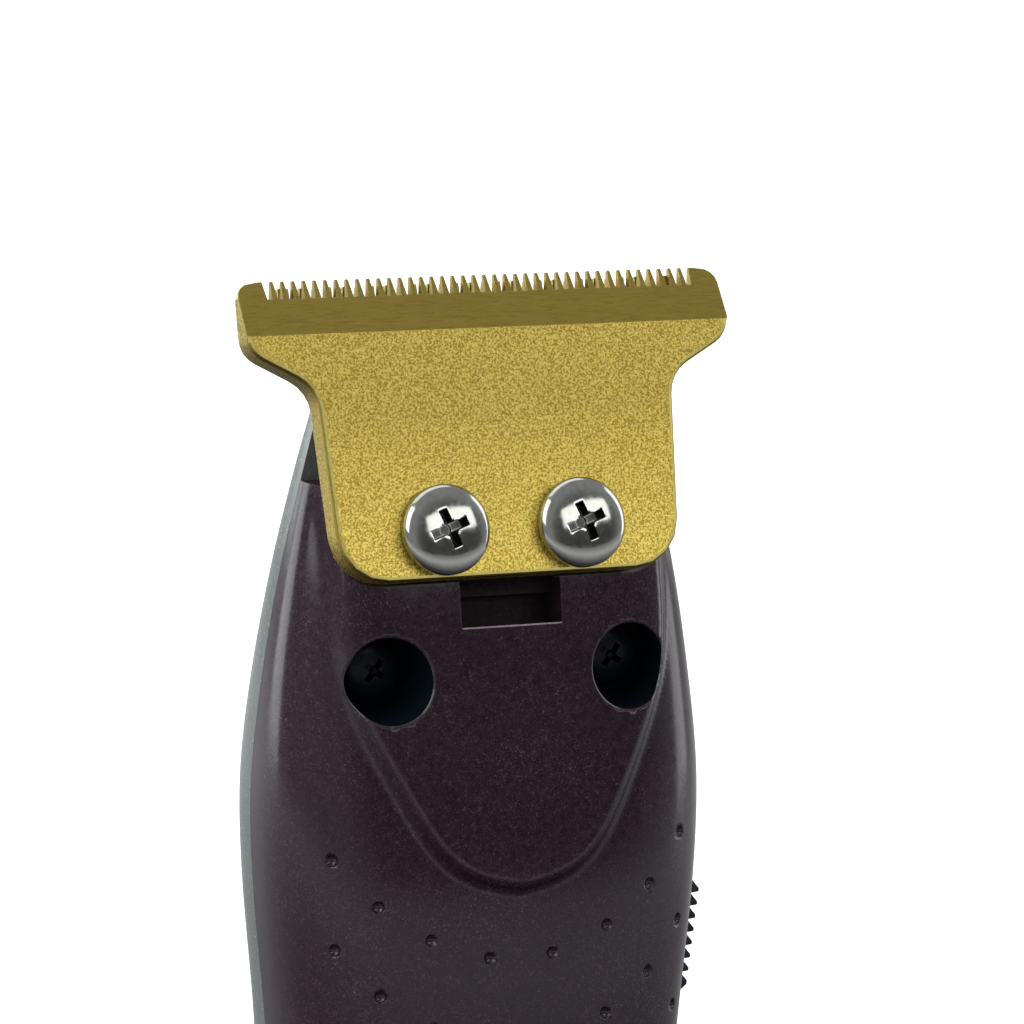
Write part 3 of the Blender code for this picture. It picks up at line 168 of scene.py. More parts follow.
def makeFloor(setup):
    bm = bmesh.new()
    bmesh.ops.create_grid(bm, x_segments=2, y_segments=2, size=4.0)
    mesh = bpy.data.meshes.new("paleFloor")
    bm.to_mesh(mesh)
    bm.free()
    floor = bpy.data.objects.new("paleFloor", mesh)
    bpy.context.scene.collection.objects.link(floor)
    made, tree, shader = newMaterial("paleFloorPaper", {"Roughness": 0.9})
    away = tree.nodes.new("ShaderNodeVectorMath")
    away.operation = "LENGTH"
    tree.links.new(objectCoords(tree), away.inputs[0])
    # Painted shadow: the floor is near-black close to the object and turns to the mottled pale paper further
    # out.
    far = rangeOf(tree, away.outputs["Value"], *setup["nearReach"], 0.0, 1.0)
    mottled = mixColours(tree, noiseOf(tree, 3.0, 2.0), setup["floor"], setup["floorWorn"])
    tree.links.new(mixColours(tree, far, setup["floorNear"], mottled), shader.inputs["Base Color"])
    shader.inputs["Emission Color"].default_value = (1, 1, 1, 1)
    path = tree.nodes.new("ShaderNodeLightPath")
    tree.links.new(path.outputs["Is Camera Ray"], shader.inputs["Emission Strength"])
    mesh.materials.append(made)


# Node helpers. Each returns the socket that the next one takes.
def newMaterial(name, settings):
    made = bpy.data.materials.new(name)
    made.use_nodes = True
    tree = made.node_tree
    shader = tree.nodes["Principled BSDF"]
    for socket, value in settings.items():
        shader.inputs[socket].default_value = value
    return made, tree, shader


def objectCoords(tree, stretch=(1, 1, 1)):
    coord, mapping = tree.nodes.new("ShaderNodeTexCoord"), tree.nodes.new("ShaderNodeMapping")
    mapping.inputs["Scale"].default_value = stretch
    tree.links.new(coord.outputs["Object"], mapping.inputs["Vector"])
    return mapping.outputs["Vector"]


def noiseOf(tree, scale, detail):
    noise = tree.nodes.new("ShaderNodeTexNoise")
    noise.inputs["Scale"].default_value = scale
    noise.inputs["Detail"].default_value = detail
    noise.inputs["Roughness"].default_value = 0.55
    tree.links.new(objectCoords(tree), noise.inputs["Vector"])
    return noise.outputs["Fac"]


def rangeOf(tree, value, low, high, toLow, toHigh):
    spread = tree.nodes.new("ShaderNodeMapRange")
    for socket, number in zip(("From Min", "From Max", "To Min", "To Max"), (low, high, toLow, toHigh)):
        spread.inputs[socket].default_value = number
    tree.links.new(value, spread.inputs["Value"])
    return spread.outputs["Result"]


def mixColours(tree, factor, first, second):
    mix = tree.nodes.new("ShaderNodeMix")
    mix.data_type = "RGBA"
    tree.links.new(factor, mix.inputs["Factor"])
    for socket, colour in ((6, first), (7, second)):
        if isinstance(colour, tuple):
            mix.inputs[socket].default_value = colour
        else:
            tree.links.new(colour, mix.inputs[socket])
    return mix.outputs[2]


def bumpOf(tree, height, strength, distance):
    bump = tree.nodes.new("ShaderNodeBump")
    bump.inputs["Strength"].default_value = strength
    bump.inputs["Distance"].default_value = distance
    tree.links.new(height, bump.inputs["Height"])
    return bump.outputs["Normal"]


def newGroup(name, inputs, outputs):
    group = bpy.data.node_groups.new(name, "ShaderNodeTree")
    for socket, kind, value in inputs:
        made = group.interface.new_socket(socket, in_out="INPUT", socket_type=kind)
        if value is not None:
            made.default_value = value
    for socket, kind in outputs:
        group.interface.new_socket(socket, in_out="OUTPUT", socket_type=kind)
    return group, group.nodes.new("NodeGroupInput"), group.nodes.new("NodeGroupOutput")


def makeGrainGroup():
    # Grain of a blasted or moulded surface: a height, and a soft mask for colour and roughness.
    group, given, out = newGroup(
        "surfaceGrain",
        [
            ("Vector", "NodeSocketVector", None),
            ("Scale", "NodeSocketFloat", 4000.0),
            ("Coarse", "NodeSocketFloat", 0.35),
        ],
        [("Height", "NodeSocketFloat"), ("Mask", "NodeSocketFloat")],
    )
    fine, coarse = (group.nodes.new("ShaderNodeTexNoise") for _ in range(2))
    blend, slow = group.nodes.new("ShaderNodeMix"), group.nodes.new("ShaderNodeMath")
    slow.operation = "MULTIPLY"
    slow.inputs[1].default_value = 0.22
    fine.inputs["Detail"].default_value = 4.0
    fine.inputs["Roughness"].default_value = 0.65
    coarse.inputs["Detail"].default_value = 3.0
    link = group.links.new
    link(given.outputs["Vector"], fine.inputs["Vector"])
    link(given.outputs["Vector"], coarse.inputs["Vector"])
    link(given.outputs["Scale"], fine.inputs["Scale"])
    link(given.outputs["Scale"], slow.inputs[0])
    link(slow.outputs[0], coarse.inputs["Scale"])
    link(given.outputs["Coarse"], blend.inputs["Factor"])
    link(fine.outputs["Fac"], blend.inputs[2])
    link(coarse.outputs["Fac"], blend.inputs[3])
    link(blend.outputs[0], out.inputs["Height"])
    link(fine.outputs["Fac"], out.inputs["Mask"])
    return group


def makeFleckGroup():
    # Scattered specks of dust and short hairline scratches, as one mask.
    group, given, out = newGroup(
        "fineFlecks",
        [
            ("Vector", "NodeSocketVector", None),
            ("Scale", "NodeSocketFloat", 2600.0),
            ("Cover", "NodeSocketFloat", 0.62),
        ],
        [("Mask", "NodeSocketFloat")],
    )
    noise, warp, cells = (
        group.nodes.new("ShaderNodeTexNoise"),
        group.nodes.new("ShaderNodeTexNoise"),
        group.nodes.new("ShaderNodeMapRange"),
    )
    noise.inputs["Detail"].default_value = 3.0
    noise.inputs["Roughness"].default_value = 0.7
    noise.inputs["Distortion"].default_value = 1.8
    warp.inputs["Scale"].default_value = 160.0
    warp.inputs["Detail"].default_value = 2.0
    cells.inputs["From Max"].default_value = 0.80
    patchy = group.nodes.new("ShaderNodeMath")
    patchy.operation = "MULTIPLY"
    link = group.links.new
    link(given.outputs["Vector"], noise.inputs["Vector"])
    link(given.outputs["Vector"], warp.inputs["Vector"])
    link(given.outputs["Scale"], noise.inputs["Scale"])
    link(noise.outputs["Fac"], cells.inputs["Value"])
    link(given.outputs["Cover"], cells.inputs["From Min"])
    link(cells.outputs["Result"], patchy.inputs[0])
    link(warp.outputs["Fac"], patchy.inputs[1])
    link(patchy.outputs[0], out.inputs["Mask"])
    return group


def makeWearGroup():
    # Rubbed edges: how far the rounded normal leans away from the true one.
    group, given, out = newGroup(
        "edgeWear",
        [("Radius", "NodeSocketFloat", 0.0002), ("Vector", "NodeSocketVector", None)],
        [("Mask", "NodeSocketFloat")],
    )
    bevel, true = group.nodes.new("ShaderNodeBevel"), group.nodes.new("ShaderNodeNewGeometry")
    bevel.samples = 4
    dot, gain, noise, rough = (
        group.nodes.new("ShaderNodeVectorMath"),
        group.nodes.new("ShaderNodeMapRange"),
        group.nodes.new("ShaderNodeTexNoise"),
        group.nodes.new("ShaderNodeMath"),
    )
    dot.operation = "DOT_PRODUCT"
    rough.operation = "MULTIPLY"
    gain.inputs["From Min"].default_value = 0.995
    gain.inputs["From Max"].default_value = 0.80
    noise.inputs["Scale"].default_value = 900.0
    noise.inputs["Detail"].default_value = 3.0
    link = group.links.new
    link(given.outputs["Radius"], bevel.inputs["Radius"])
    link(bevel.outputs["Normal"], dot.inputs[0])
    link(true.outputs["Normal"], dot.inputs[1])
    link(dot.outputs["Value"], gain.inputs["Value"])
    link(given.outputs["Vector"], noise.inputs["Vector"])
    link(gain.outputs["Result"], rough.inputs[0])
    link(noise.outputs["Fac"], rough.inputs[1])
    link(rough.outputs[0], out.inputs["Mask"])
    return group


grain = makeGrainGroup()
flecks = makeFleckGroup()
wear = makeWearGroup()


def useGroup(tree, group, coords, **values):
    node = tree.nodes.new("ShaderNodeGroup")
    node.node_tree = group
    tree.links.new(coords, node.inputs["Vector"])
    for socket, value in values.items():
        node.inputs[socket].default_value = value
    return node


# Each finish: base and second colour, roughness range, grain size and depth, specks and worn edges.
finishes = {
    "plumLacquer": {
        "base": (0.0175, 0.0070, 0.0140), "second": (0.0240, 0.0105, 0.0190), "rough": (0.15, 0.22),
        "grainScale": 1500.0, "bump": (0.08, 0.00002), "fleck": (0.30, 0.21, 0.26), "cover": 0.545,
        "fleckScale": 4300.0, "worn": (0.10, 0.08, 0.11), "settings": {"IOR": 1.5},
    },
    # Painted shade: a darker, duller copy of the plum for the pocket's ledge and floor.
    "plumShade": {
        "base": (0.0120, 0.0080, 0.0110), "second": (0.0220, 0.0135, 0.0185), "rough": (0.34, 0.46),
        "grainScale": 1500.0, "bump": (0.08, 0.00002), "fleck": (0.10, 0.07, 0.09), "cover": 0.55,
        "fleckScale": 4300.0, "worn": (0.03, 0.025, 0.035), "settings": {"IOR": 1.13},
    },
    # Painted shade: a near-black copy of the plum for the insides of the wells.
    "wellShade": {
        "base": (0.0040, 0.0070, 0.0105), "second": (0.0055, 0.0090, 0.0130), "rough": (0.40, 0.50),
        "grainScale": 1500.0, "bump": (0.08, 0.00002), "fleck": (0.010, 0.012, 0.016), "cover": 0.60,
        "fleckScale": 4300.0, "worn": (0.006, 0.008, 0.010), "settings": {"IOR": 1.10},
    },
    # Painted highlight: a pale plum for the bevel along the pocket's lower lip.
    "plumLip": {
        "base": (0.30, 0.24, 0.26), "second": (0.42, 0.34, 0.37), "rough": (0.25, 0.35),
        "grainScale": 3000.0, "bump": (0.10, 0.00002), "fleck": (0.62, 0.52, 0.55), "cover": 0.58,
        "fleckScale": 4300.0, "worn": (0.55, 0.46, 0.50), "settings": {"IOR": 1.5},
    },
    "greyGloss": {
        "base": (0.120, 0.138, 0.132), "second": (0.140, 0.158, 0.151), "rough": (0.18, 0.28),
        "grainScale": 1500.0, "bump": (0.10, 0.00003), "fleck": (0.12, 0.13, 0.13), "cover": 0.62,
        "fleckScale": 4200.0, "worn": (0.16, 0.17, 0.17), "settings": {"IOR": 1.5},
    },
    "satinBlack": {
        "base": (0.0075, 0.0075, 0.0085), "second": (0.012, 0.012, 0.013), "rough": (0.38, 0.52),
        "grainScale": 5200.0, "bump": (0.35, 0.00004), "fleck": (0.05, 0.05, 0.055), "cover": 0.66,
        "fleckScale": 3800.0, "worn": (0.045, 0.045, 0.050), "settings": {},
    },
    "mouldedWhite": {
        "base": (0.66, 0.65, 0.61), "second": (0.72, 0.71, 0.68), "rough": (0.35, 0.5),
        "grainScale": 4200.0, "bump": (0.25, 0.00003), "fleck": (0.50, 0.48, 0.44), "cover": 0.68,
        "fleckScale": 3000.0, "worn": (0.78, 0.77, 0.74), "settings": {},
    },
    "blastedGold": {
        "base": (0.250, 0.180, 0.026), "second": (0.640, 0.495, 0.120), "rough": (0.34, 0.42),
        "coarse": 0.05,
        # Painted light: below the given height the plate's colours are raised by the gain.
        "fade": {"from": 0.1480, "to": 0.1375, "gain": 1.5},
        "grainScale": 6200.0, "bump": (0.60, 0.00004), "mottle": (0.43, 0.57),
        "fleck": (0.84, 0.70, 0.26), "cover": 0.60,
        "fleckScale": 3600.0, "worn": (0.95, 0.82, 0.40), "settings": {"Metallic": 1.0},
    },
    "groundGold": {
        "base": (0.400, 0.300, 0.062), "second": (0.430, 0.325, 0.070), "rough": (0.26, 0.34),
        "stretch": (0.12, 1, 1),
        "grainScale": 5200.0, "bump": (0.12, 0.00002), "fleck": (0.62, 0.54, 0.27), "cover": 0.70,
        "fleckScale": 2200.0, "worn": (0.80, 0.70, 0.36), "settings": {"Metallic": 1.0},
    },
    # Painted highlight: a pale gold for the front-facing chamfer of the blade's rim.
    "brightGold": {
        "base": (1.00, 0.82, 0.20), "second": (1.00, 0.88, 0.30), "rough": (0.30, 0.42),
        "grainScale": 3000.0, "bump": (0.20, 0.00002), "fleck": (0.98, 0.9, 0.6), "cover": 0.7,
        "fleckScale": 3000.0, "worn": (0.98, 0.9, 0.6), "settings": {"Metallic": 1.0},
    },
    "polishedNickel": {
        "base": (0.40, 0.40, 0.375), "second": (0.45, 0.45, 0.42), "rough": (0.09, 0.16),
        "grainScale": 2200.0, "bump": (0.10, 0.00002), "fleck": (0.45, 0.44, 0.42), "cover": 0.66,
        "fleckScale": 3600.0, "worn": (0.80, 0.80, 0.77), "settings": {"Metallic": 1.0},
    },
    "nickelShade": {
        "base": (0.060, 0.060, 0.056), "second": (0.090, 0.090, 0.084), "rough": (0.26, 0.38),
        "grainScale": 2200.0, "bump": (0.15, 0.00002), "fleck": (0.20, 0.20, 0.19), "cover": 0.66,
        "fleckScale": 3600.0, "worn": (0.85, 0.85, 0.82), "settings": {"Metallic": 1.0},
    },
    "rolledSteel": {
        "base": (0.42, 0.42, 0.43), "second": (0.50, 0.50, 0.50), "rough": (0.24, 0.38),
        "stretch": (1, 1, 0.10),
        "grainScale": 4200.0, "bump": (0.25, 0.00003), "fleck": (0.35, 0.34, 0.33), "cover": 0.66,
        "fleckScale": 2600.0, "worn": (0.62, 0.62, 0.62), "settings": {"Metallic": 1.0},
    },
    "woundCopper": {
        "base": (0.70, 0.30, 0.13), "second": (0.82, 0.40, 0.20), "rough": (0.22, 0.36),
        "stretch": (1, 1, 0.08),
        "grainScale": 5200.0, "bump": (0.65, 0.00008), "fleck": (0.45, 0.18, 0.09), "cover": 0.64,
        "fleckScale": 2600.0, "worn": (0.90, 0.52, 0.32), "settings": {"Metallic": 1.0},
    },
    "blackOxide": {
        "base": (0.0042, 0.0066, 0.0098), "second": (0.0060, 0.0088, 0.0125), "rough": (0.26, 0.36),
        "grainScale": 2600.0, "bump": (0.12, 0.00002), "fleck": (0.020, 0.024, 0.030), "cover": 0.66,
        "fleckScale": 2600.0, "worn": (0.020, 0.024, 0.030), "settings": {"IOR": 1.25},
    },
    "platedBrass": {
        "base": (0.72, 0.53, 0.22), "second": (0.80, 0.62, 0.28), "rough": (0.18, 0.30),
        "grainScale": 4200.0, "bump": (0.2, 0.00003), "fleck": (0.5, 0.36, 0.16), "cover": 0.67,
        "fleckScale": 2600.0, "worn": (0.92, 0.78, 0.45), "settings": {"Metallic": 1.0},
    },
    "solderMask": {
        "base": (0.010, 0.105, 0.040), "second": (0.016, 0.150, 0.058), "rough": (0.26, 0.40),
        "grainScale": 2600.0, "bump": (0.3, 0.00004), "fleck": (0.55, 0.52, 0.40), "cover": 0.70,
        "fleckScale": 1500.0, "worn": (0.10, 0.26, 0.14), "settings": {},
    },
    "shrinkSleeve": {
        "base": (0.030, 0.16, 0.34), "second": (0.045, 0.21, 0.42), "rough": (0.22, 0.34),
        "stretch": (1, 1, 0.15),
        "grainScale": 1300.0, "bump": (0.30, 0.00006), "fleck": (0.16, 0.36, 0.55), "cover": 0.68,
        "fleckScale": 2600.0, "worn": (0.20, 0.40, 0.60), "settings": {},
    },
    "openFoam": {
        "base": (0.020, 0.020, 0.021), "second": (0.050, 0.050, 0.050), "rough": (0.88, 0.98),
        "grainScale": 3000.0, "bump": (1.0, 0.00025), "fleck": (0.09, 0.09, 0.09), "cover": 0.58,
        "fleckScale": 2600.0, "worn": (0.06, 0.06, 0.06), "settings": {},
    },
    "sinteredMagnet": {
        "base": (0.035, 0.035, 0.038), "second": (0.055, 0.055, 0.058), "rough": (0.45, 0.62),
        "grainScale": 3600.0, "bump": (0.5, 0.00006), "fleck": (0.12, 0.12, 0.12), "cover": 0.62,
        "fleckScale": 3000.0, "worn": (0.13, 0.13, 0.13), "settings": {"Metallic": 0.4},
    },
    "clearPipe": {
        "base": (0.80, 0.84, 0.86), "second": (0.86, 0.89, 0.90), "rough": (0.04, 0.10),
        "grainScale": 1500.0, "bump": (0.08, 0.00002), "fleck": (0.7, 0.72, 0.74), "cover": 0.70,
        "fleckScale": 2600.0, "worn": (0.9, 0.92, 0.93), "settings": {"Transmission Weight": 0.85,
        "IOR": 1.49},
    },
}


def makeFinish(name, recipe):
    made, tree, shader = newMaterial(name, recipe["settings"])
    coords = objectCoords(tree, recipe.get("stretch", (1, 1, 1)))
    plain = objectCoords(tree)
    skin = useGroup(tree, grain, coords, Scale=recipe["grainScale"], Coarse=recipe.get("coarse", 0.35))
    dust = useGroup(tree, flecks, plain, Scale=recipe["fleckScale"], Cover=recipe["cover"])
    rub = useGroup(tree, wear, plain)
    mottle = rangeOf(tree, skin.outputs["Mask"], *recipe.get("mottle", (0.38, 0.62)), 0.0, 1.0)
    tone = mixColours(tree, mottle, (*recipe["base"], 1), (*recipe["second"], 1))
    # Painted light: the lower part of the piece takes brighter copies of its colours.
    if "fade" in recipe:
        fade = recipe["fade"]
        split = tree.nodes.new("ShaderNodeSeparateXYZ")
        tree.links.new(plain, split.inputs[0])
        lift = rangeOf(tree, split.outputs["Z"], fade["from"], fade["to"], 0.0, 1.0)
        paintedLitColours = [(*(min(part * fade["gain"], 1.0) for part in recipe[key]), 1) for key in ("base", "second")]
        tone = mixColours(tree, lift, tone, mixColours(tree, mottle, *paintedLitColours))
    speckled = mixColours(tree, dust.outputs["Mask"], tone, (*recipe["fleck"], 1))
    worn = mixColours(tree, rub.outputs["Mask"], speckled, (*recipe["worn"], 1))
    tree.links.new(worn, shader.inputs["Base Color"])
    low, high = recipe["rough"]
    tree.links.new(rangeOf(tree, skin.outputs["Mask"], 0.35, 0.65, low, high), shader.inputs["Roughness"])
    strength, distance = recipe["bump"]
    tree.links.new(bumpOf(tree, skin.outputs["Height"], strength, distance), shader.inputs["Normal"])
    return made


finish = {name: makeFinish(name, recipe) for name, recipe in finishes.items()}
finishOfSlot = {
    "gold_plate": "blastedGold", "plum_plastic": "plumLacquer", "grey_plastic": "greyGloss",
    "black_plastic": "satinBlack", "white_plastic": "mouldedWhite", "nickel": "polishedNickel",
    "black_oxide": "blackOxide", "steel": "rolledSteel", "copper": "woundCopper",
    "brass": "platedBrass", "magnet": "sinteredMagnet",
    "board_green": "solderMask", "battery_sleeve": "shrinkSleeve", "foam": "openFoam",
    "clear_plastic": "clearPipe",
}
print("finishes made,", len(finish))


def finishFor(node):
    return finish[finishOfSlot[slotOf[node]]]


def linked(name, bm):
    mesh = bpy.data.meshes.new(name)
    bm.to_mesh(mesh)
    bm.free()
    made = bpy.data.objects.new(name, mesh)
    bpy.context.scene.collection.objects.link(made)
    return made


def spansOf(mesh):
    ways = list(zip(*(vert.co for vert in mesh.vertices)))
    return [max(way) - min(way) for way in ways]


def carve(target, operation, *tools):
    # Booleans, applied at once, after which the tools are gone. A cut can't make a piece larger, so one
    # that did is done again.
    for tool in tools:
        step = target.modifiers.new("carve", "BOOLEAN")
        step.operation = operation
        step.solver = "EXACT"
        step.object = tool
    before = spansOf(target.data)
    for _ in range(4):
        bpy.context.view_layer.update()
        graph = bpy.context.evaluated_depsgraph_get()
        shaped = bpy.data.meshes.new_from_object(target.evaluated_get(graph))
        if operation == "UNION" or all(now < was + 1e-5 for now, was in zip(spansOf(shaped), before)):
            break
        target.data.update_tag()
    target.modifiers.clear()
    target.data = shaped
    for tool in tools:
        bpy.data.objects.remove(tool)
    return target


def shade(bm, crease, crisp=()):
    # Smooth over gentle angles, sharp at creases and where a crisp face meets its neighbour.
    crisp = set(crisp)
    for face in bm.faces:
        face.smooth = True
    for edge in bm.edges:
        soft = len(edge.link_faces) == 2 and edge.calc_face_angle(0) < math.radians(crease)
        borders = len({(face in crisp, face.material_index) for face in edge.link_faces}) > 1
        edge.smooth = soft and not borders


def settle(piece, node, materials=None, crease=30, others=()):
    # Shading, material, body, slot and the CAD solids that the piece stands for.
    if crease:
        bm = bmesh.new()
        bm.from_mesh(piece.data)
        shade(bm, crease)
        bm.to_mesh(piece.data)
        bm.free()
    places = [face.material_index for face in piece.data.polygons]
    piece.data.materials.clear()
    for made in materials or [finishFor(node)]:
        piece.data.materials.append(made)
    piece.data.polygons.foreach_set("material_index", places if materials else [0] * len(places))
    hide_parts(node, *others)
    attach(piece, nodes[node]["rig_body"])
    return piece


def moved(bm, matrix=Matrix.Identity(4)):
    bmesh.ops.transform(bm, matrix=toMetres @ matrix, verts=bm.verts)
    return bm


# Sizes below are in millimetres. A bmesh is turned to metres by moved() when it is done.
toMetres = Matrix.Scale(mm, 4)
headSetup = {"tipHeight": 158.0, "tipDepth": -1.4, "lean": 17.6}
headFrame = Matrix.Translation((0, headSetup["tipDepth"], headSetup["tipHeight"])) @ Matrix.Rotation(
    math.radians(-headSetup["lean"]), 4, "X"
)


def block(x, y, z, matrix=Matrix.Identity(4)):
    bm = bmesh.new()
    size = (x[1] - x[0], y[1] - y[0], z[1] - z[0])
    middle = (sum(x) / 2, sum(y) / 2, sum(z) / 2)
    bmesh.ops.create_cube(bm, size=1, matrix=Matrix.Translation(middle) @ Matrix.Diagonal((*size, 1)))
    return moved(bm, matrix)


def rodAlongY(radius, low, high, at, segments=64, endRadius=None, matrix=Matrix.Identity(4)):
    bm = bmesh.new()
    lay = Matrix.Translation((at[0], (low + high) / 2, at[1])) @ Matrix.Rotation(math.radians(-90), 4, "X")
    bmesh.ops.create_cone(
        bm, cap_ends=True, segments=segments, radius1=radius,
        radius2=radius if endRadius is None else endRadius, depth=high - low, matrix=lay,
    )
    return moved(bm, matrix)


def roundedPlate(corners, low, high, matrix, segments=10):
    # A plate in XZ between two depths, each corner (across, along, radius) bevelled to its radius.
    bm = bmesh.new()
    face = bm.faces.new([bm.verts.new((across, low, along)) for across, along, _ in corners])
    drawn = bmesh.ops.extrude_face_region(bm, geom=[face])["geom"]
    top = [g for g in drawn if isinstance(g, bmesh.types.BMVert)]
    bmesh.ops.translate(bm, verts=top, vec=(0, high - low, 0))
    for index, (across, along, radius) in enumerate(corners):
        if not radius:
            continue
        corner = Vector((across, along))
        before = Vector(corners[index - 1][:2]) - corner
        after = Vector(corners[(index + 1) % len(corners)][:2]) - corner
        reach = radius / math.tan(before.angle(after) / 2)
        edge = [
            e for e in bm.edges
            if all((Vector((v.co.x, v.co.z)) - corner).length < 1e-4 for v in e.verts)
        ]
        bmesh.ops.bevel(
            bm, geom=edge, offset=reach, offset_type="OFFSET", segments=segments, profile=0.5,
            affect="EDGES", clamp_overlap=False, material=-1,
        )
    bmesh.ops.recalc_face_normals(bm, faces=bm.faces)
    return moved(bm, matrix)


# Housing: (height, half width, front reach, back reach) up the body, and the squareness of its sections.
housing = {
    "stations": (
        (0.0, 15.5, 11.6, 11.6), (20.0, 15.7, 11.9, 12.1), (55.0, 15.0, 11.6, 11.7),
        (82.0, 15.6, 12.0, 12.0),
        (98.0, 16.7, 12.2, 12.2), (110.0, 17.9, 11.4, 12.1), (118.0, 18.2, 10.1, 11.7),
        (126.0, 17.5, 8.3, 10.8),
        (134.4, 16.2, 6.526, 9.2), (142.0, 14.5, 4.215, 8.2), (149.0, 12.8, 2.4, 6.2),
    ),
    "frontPower": 3.0, "rearPower": 2.6, "wall": 2.0, "low": 3.3, "frontTop": 142.0, "rearTop": 149.0,
    "seam": 0.04, "bossReach": 12.2, "fineFrom": 90.0, "fineStep": 0.34, "coarseStep": 1.6, "columns": 340,
}
shield = {"rise": 1.15, "halfWidth": 13.9, "low": 111.0, "topEdge": -0.9, "foot": 0.4, "rounding": 5.0}
wells = {
    "neck": (9.9, 127.7), "base": (8.6, 19.5), "radius": 3.3, "floor": -3.0, "rim": 0.15, "wall": 1.2,
    "holeRadius": 1.3, "bossRadius": 2.7, "pilotRadius": 1.2,
}
dimples = {"radius": 0.56, "lift": 0.22, "rows": 5, "rowStep": 7.0, "places": (
    (2.6, 106.1), (7.3, 107.8), (11.3, 110.5), (14.5, 114.0),
)}
bladeSeat = {"behind": 2.25, "gap": 0.2}
bladeScrews = {"across": 5.6, "along": -19.9, "holeRadius": 1.7}
bladeOutline = ((19.9, -0.1, 1.2), (19.9, -5.6, 2.2), (14.7, -8.5, 3.0), (13.9, -23.6, 3.9))
pocket = {
    "halfWidth": 4.15, "foot": -23.0, "ledge": -24.8, "low": -27.3, "step": 3.6, "floor": 4.8, "rim": 1.3,
}
switchSeat = {"height": 104.0, "side": 3.6, "reach": 5.4, "travel": 3.4, "depth": 0.45}


def sectionAt(height):
    table = housing["stations"]
    slopes = []
    for index in range(len(table)):
        low, high = table[max(index - 1, 0)], table[min(index + 1, len(table) - 1)]
        slopes.append([(high[i] - low[i]) / (high[0] - low[0]) for i in (1, 2, 3)])
    place = 0
    while place < len(table) - 2 and height > table[place + 1][0]:
        place += 1
    low, high = table[place], table[place + 1]
    span = high[0] - low[0]
    t = min(max((height - low[0]) / span, 0), 1)
    values = []
    for i in range(3):
        pull = (slopes[place][i] * (t**3 - 2 * t**2 + t) + slopes[place + 1][i] * (t**3 - t**2)) * span
        values.append(low[i + 1] * (2 * t**3 - 3 * t**2 + 1) + high[i + 1] * (3 * t**2 - 2 * t**3) + pull)
    return values


def skinPoint(section, turn, grow):
    halfWidth, front, back = section
    across, along = math.cos(turn), math.sin(turn)
    power = housing["rearPower"] if along > 0 else housing["frontPower"]
    reach = (back if along > 0 else front) + grow
    radius = ((abs(across) / (halfWidth + grow)) ** power + (abs(along) / reach) ** power) ** (-1 / power)
    return radius * across, radius * along


def shieldRise(x, height):
    # Height of the raised shield: flat inside its U, sloping down to the body round it.
    x, soft = abs(x), shield["rounding"]
    walls = (
        x - shield["halfWidth"],
        0.884 * x - 0.467 * height + 47.03,
        0.462 * x - 0.887 * height + 97.36,
        shield["low"] - height,
    )
    outside = sum(max(0.0, wall + soft) ** 5 for wall in walls) ** 0.2 - soft
    share = (outside - shield["topEdge"]) / (shield["foot"] - shield["topEdge"])
    share = min(max(share, 0.0), 1.0)
    return shield["rise"] * (1 - share * share * (3 - 2 * share))


def frontSkin(x, height):
    # The front surface's depth at a place on the shell, shield and all.
    halfWidth, front, _ = sectionAt(height)
    inside = max(0.0, 1 - (abs(x) / halfWidth) ** housing["frontPower"])
    return -front * inside ** (1 / housing["frontPower"]) - shieldRise(x, height)


def bodyHeights(low, high, fine=None):
    heights, height = [], low
    while height < high - 0.01:
        heights.append(height)
        height += fine if fine and height >= housing["fineFrom"] else housing["coarseStep"]
    return heights + [high]


def bodySkin(columns, heights, grow=0.0, raised=False, growAt=None):
    # A drum whose walls are cut into rings, and every point then set on the body's surface.
    bm = bmesh.new()
    bmesh.ops.create_cone(bm, cap_ends=True, segments=columns, radius1=1, radius2=1, depth=1)
    upright = [e for e in bm.edges if abs(e.verts[0].co.z - e.verts[1].co.z) > 0.5]
    if len(heights) > 2:
        bmesh.ops.subdivide_edges(bm, edges=upright, cuts=len(heights) - 2, use_grid_fill=True)
    sections = [sectionAt(height) for height in heights]
    for vert in bm.verts:
        row = round((vert.co.z + 0.5) * (len(heights) - 1))
        turn = math.atan2(vert.co.y, vert.co.x)
        size = grow + (growAt(heights[row]) if growAt else 0.0)
        x, y = skinPoint(sections[row], turn, size)
        if raised and y < -1.0:
            y -= shieldRise(x, heights[row])
        vert.co = (x, y, heights[row])
    bmesh.ops.recalc_face_normals(bm, faces=bm.faces)
    return moved(bm)


def wellPlaces():
    for name in ("neck", "base"):
        across, height = wells[name]
        for side, sign in (("left", -1), ("right", 1)):
            yield f"{name}_{side}", sign * across, height


def wellTool(x, height):
    # A drill whose shoulder follows the skin, for the small chamfer round the mouth.
    bm = bmesh.new()
    radius, rim = wells["radius"], wells["rim"]
    lay = Matrix.Translation((x, 0, height)) @ Matrix.Rotation(math.radians(-90), 4, "X")
    ring = bmesh.ops.create_circle(bm, cap_ends=False, segments=96, radius=radius, matrix=lay)["verts"]
    for vert in ring:
        vert.co.y = wells["floor"]
    steps = ((radius, rim), (radius + rim, -0.02), (radius + rim * 1.9, -rim), (radius + rim * 1.9, None))
    edges = list(bm.edges)
    bm.faces.new(ring)
    for size, depth in steps:
        drawn = bmesh.ops.extrude_edge_only(bm, edges=edges)["geom"]
        ring = [g for g in drawn if isinstance(g, bmesh.types.BMVert)]
        edges = [g for g in drawn if isinstance(g, bmesh.types.BMEdge) and all(v in ring for v in g.verts)]
        for vert in ring:
            away = Vector((vert.co.x - x, 0, vert.co.z - height)).normalized() * size
            vert.co.x, vert.co.z = x + away.x, height + away.z
            vert.co.y = -30.0 if depth is None else frontSkin(vert.co.x, vert.co.z) + depth
    bmesh.ops.contextual_create(bm, geom=edges)
    bmesh.ops.recalc_face_normals(bm, faces=bm.faces)
    return moved(bm)


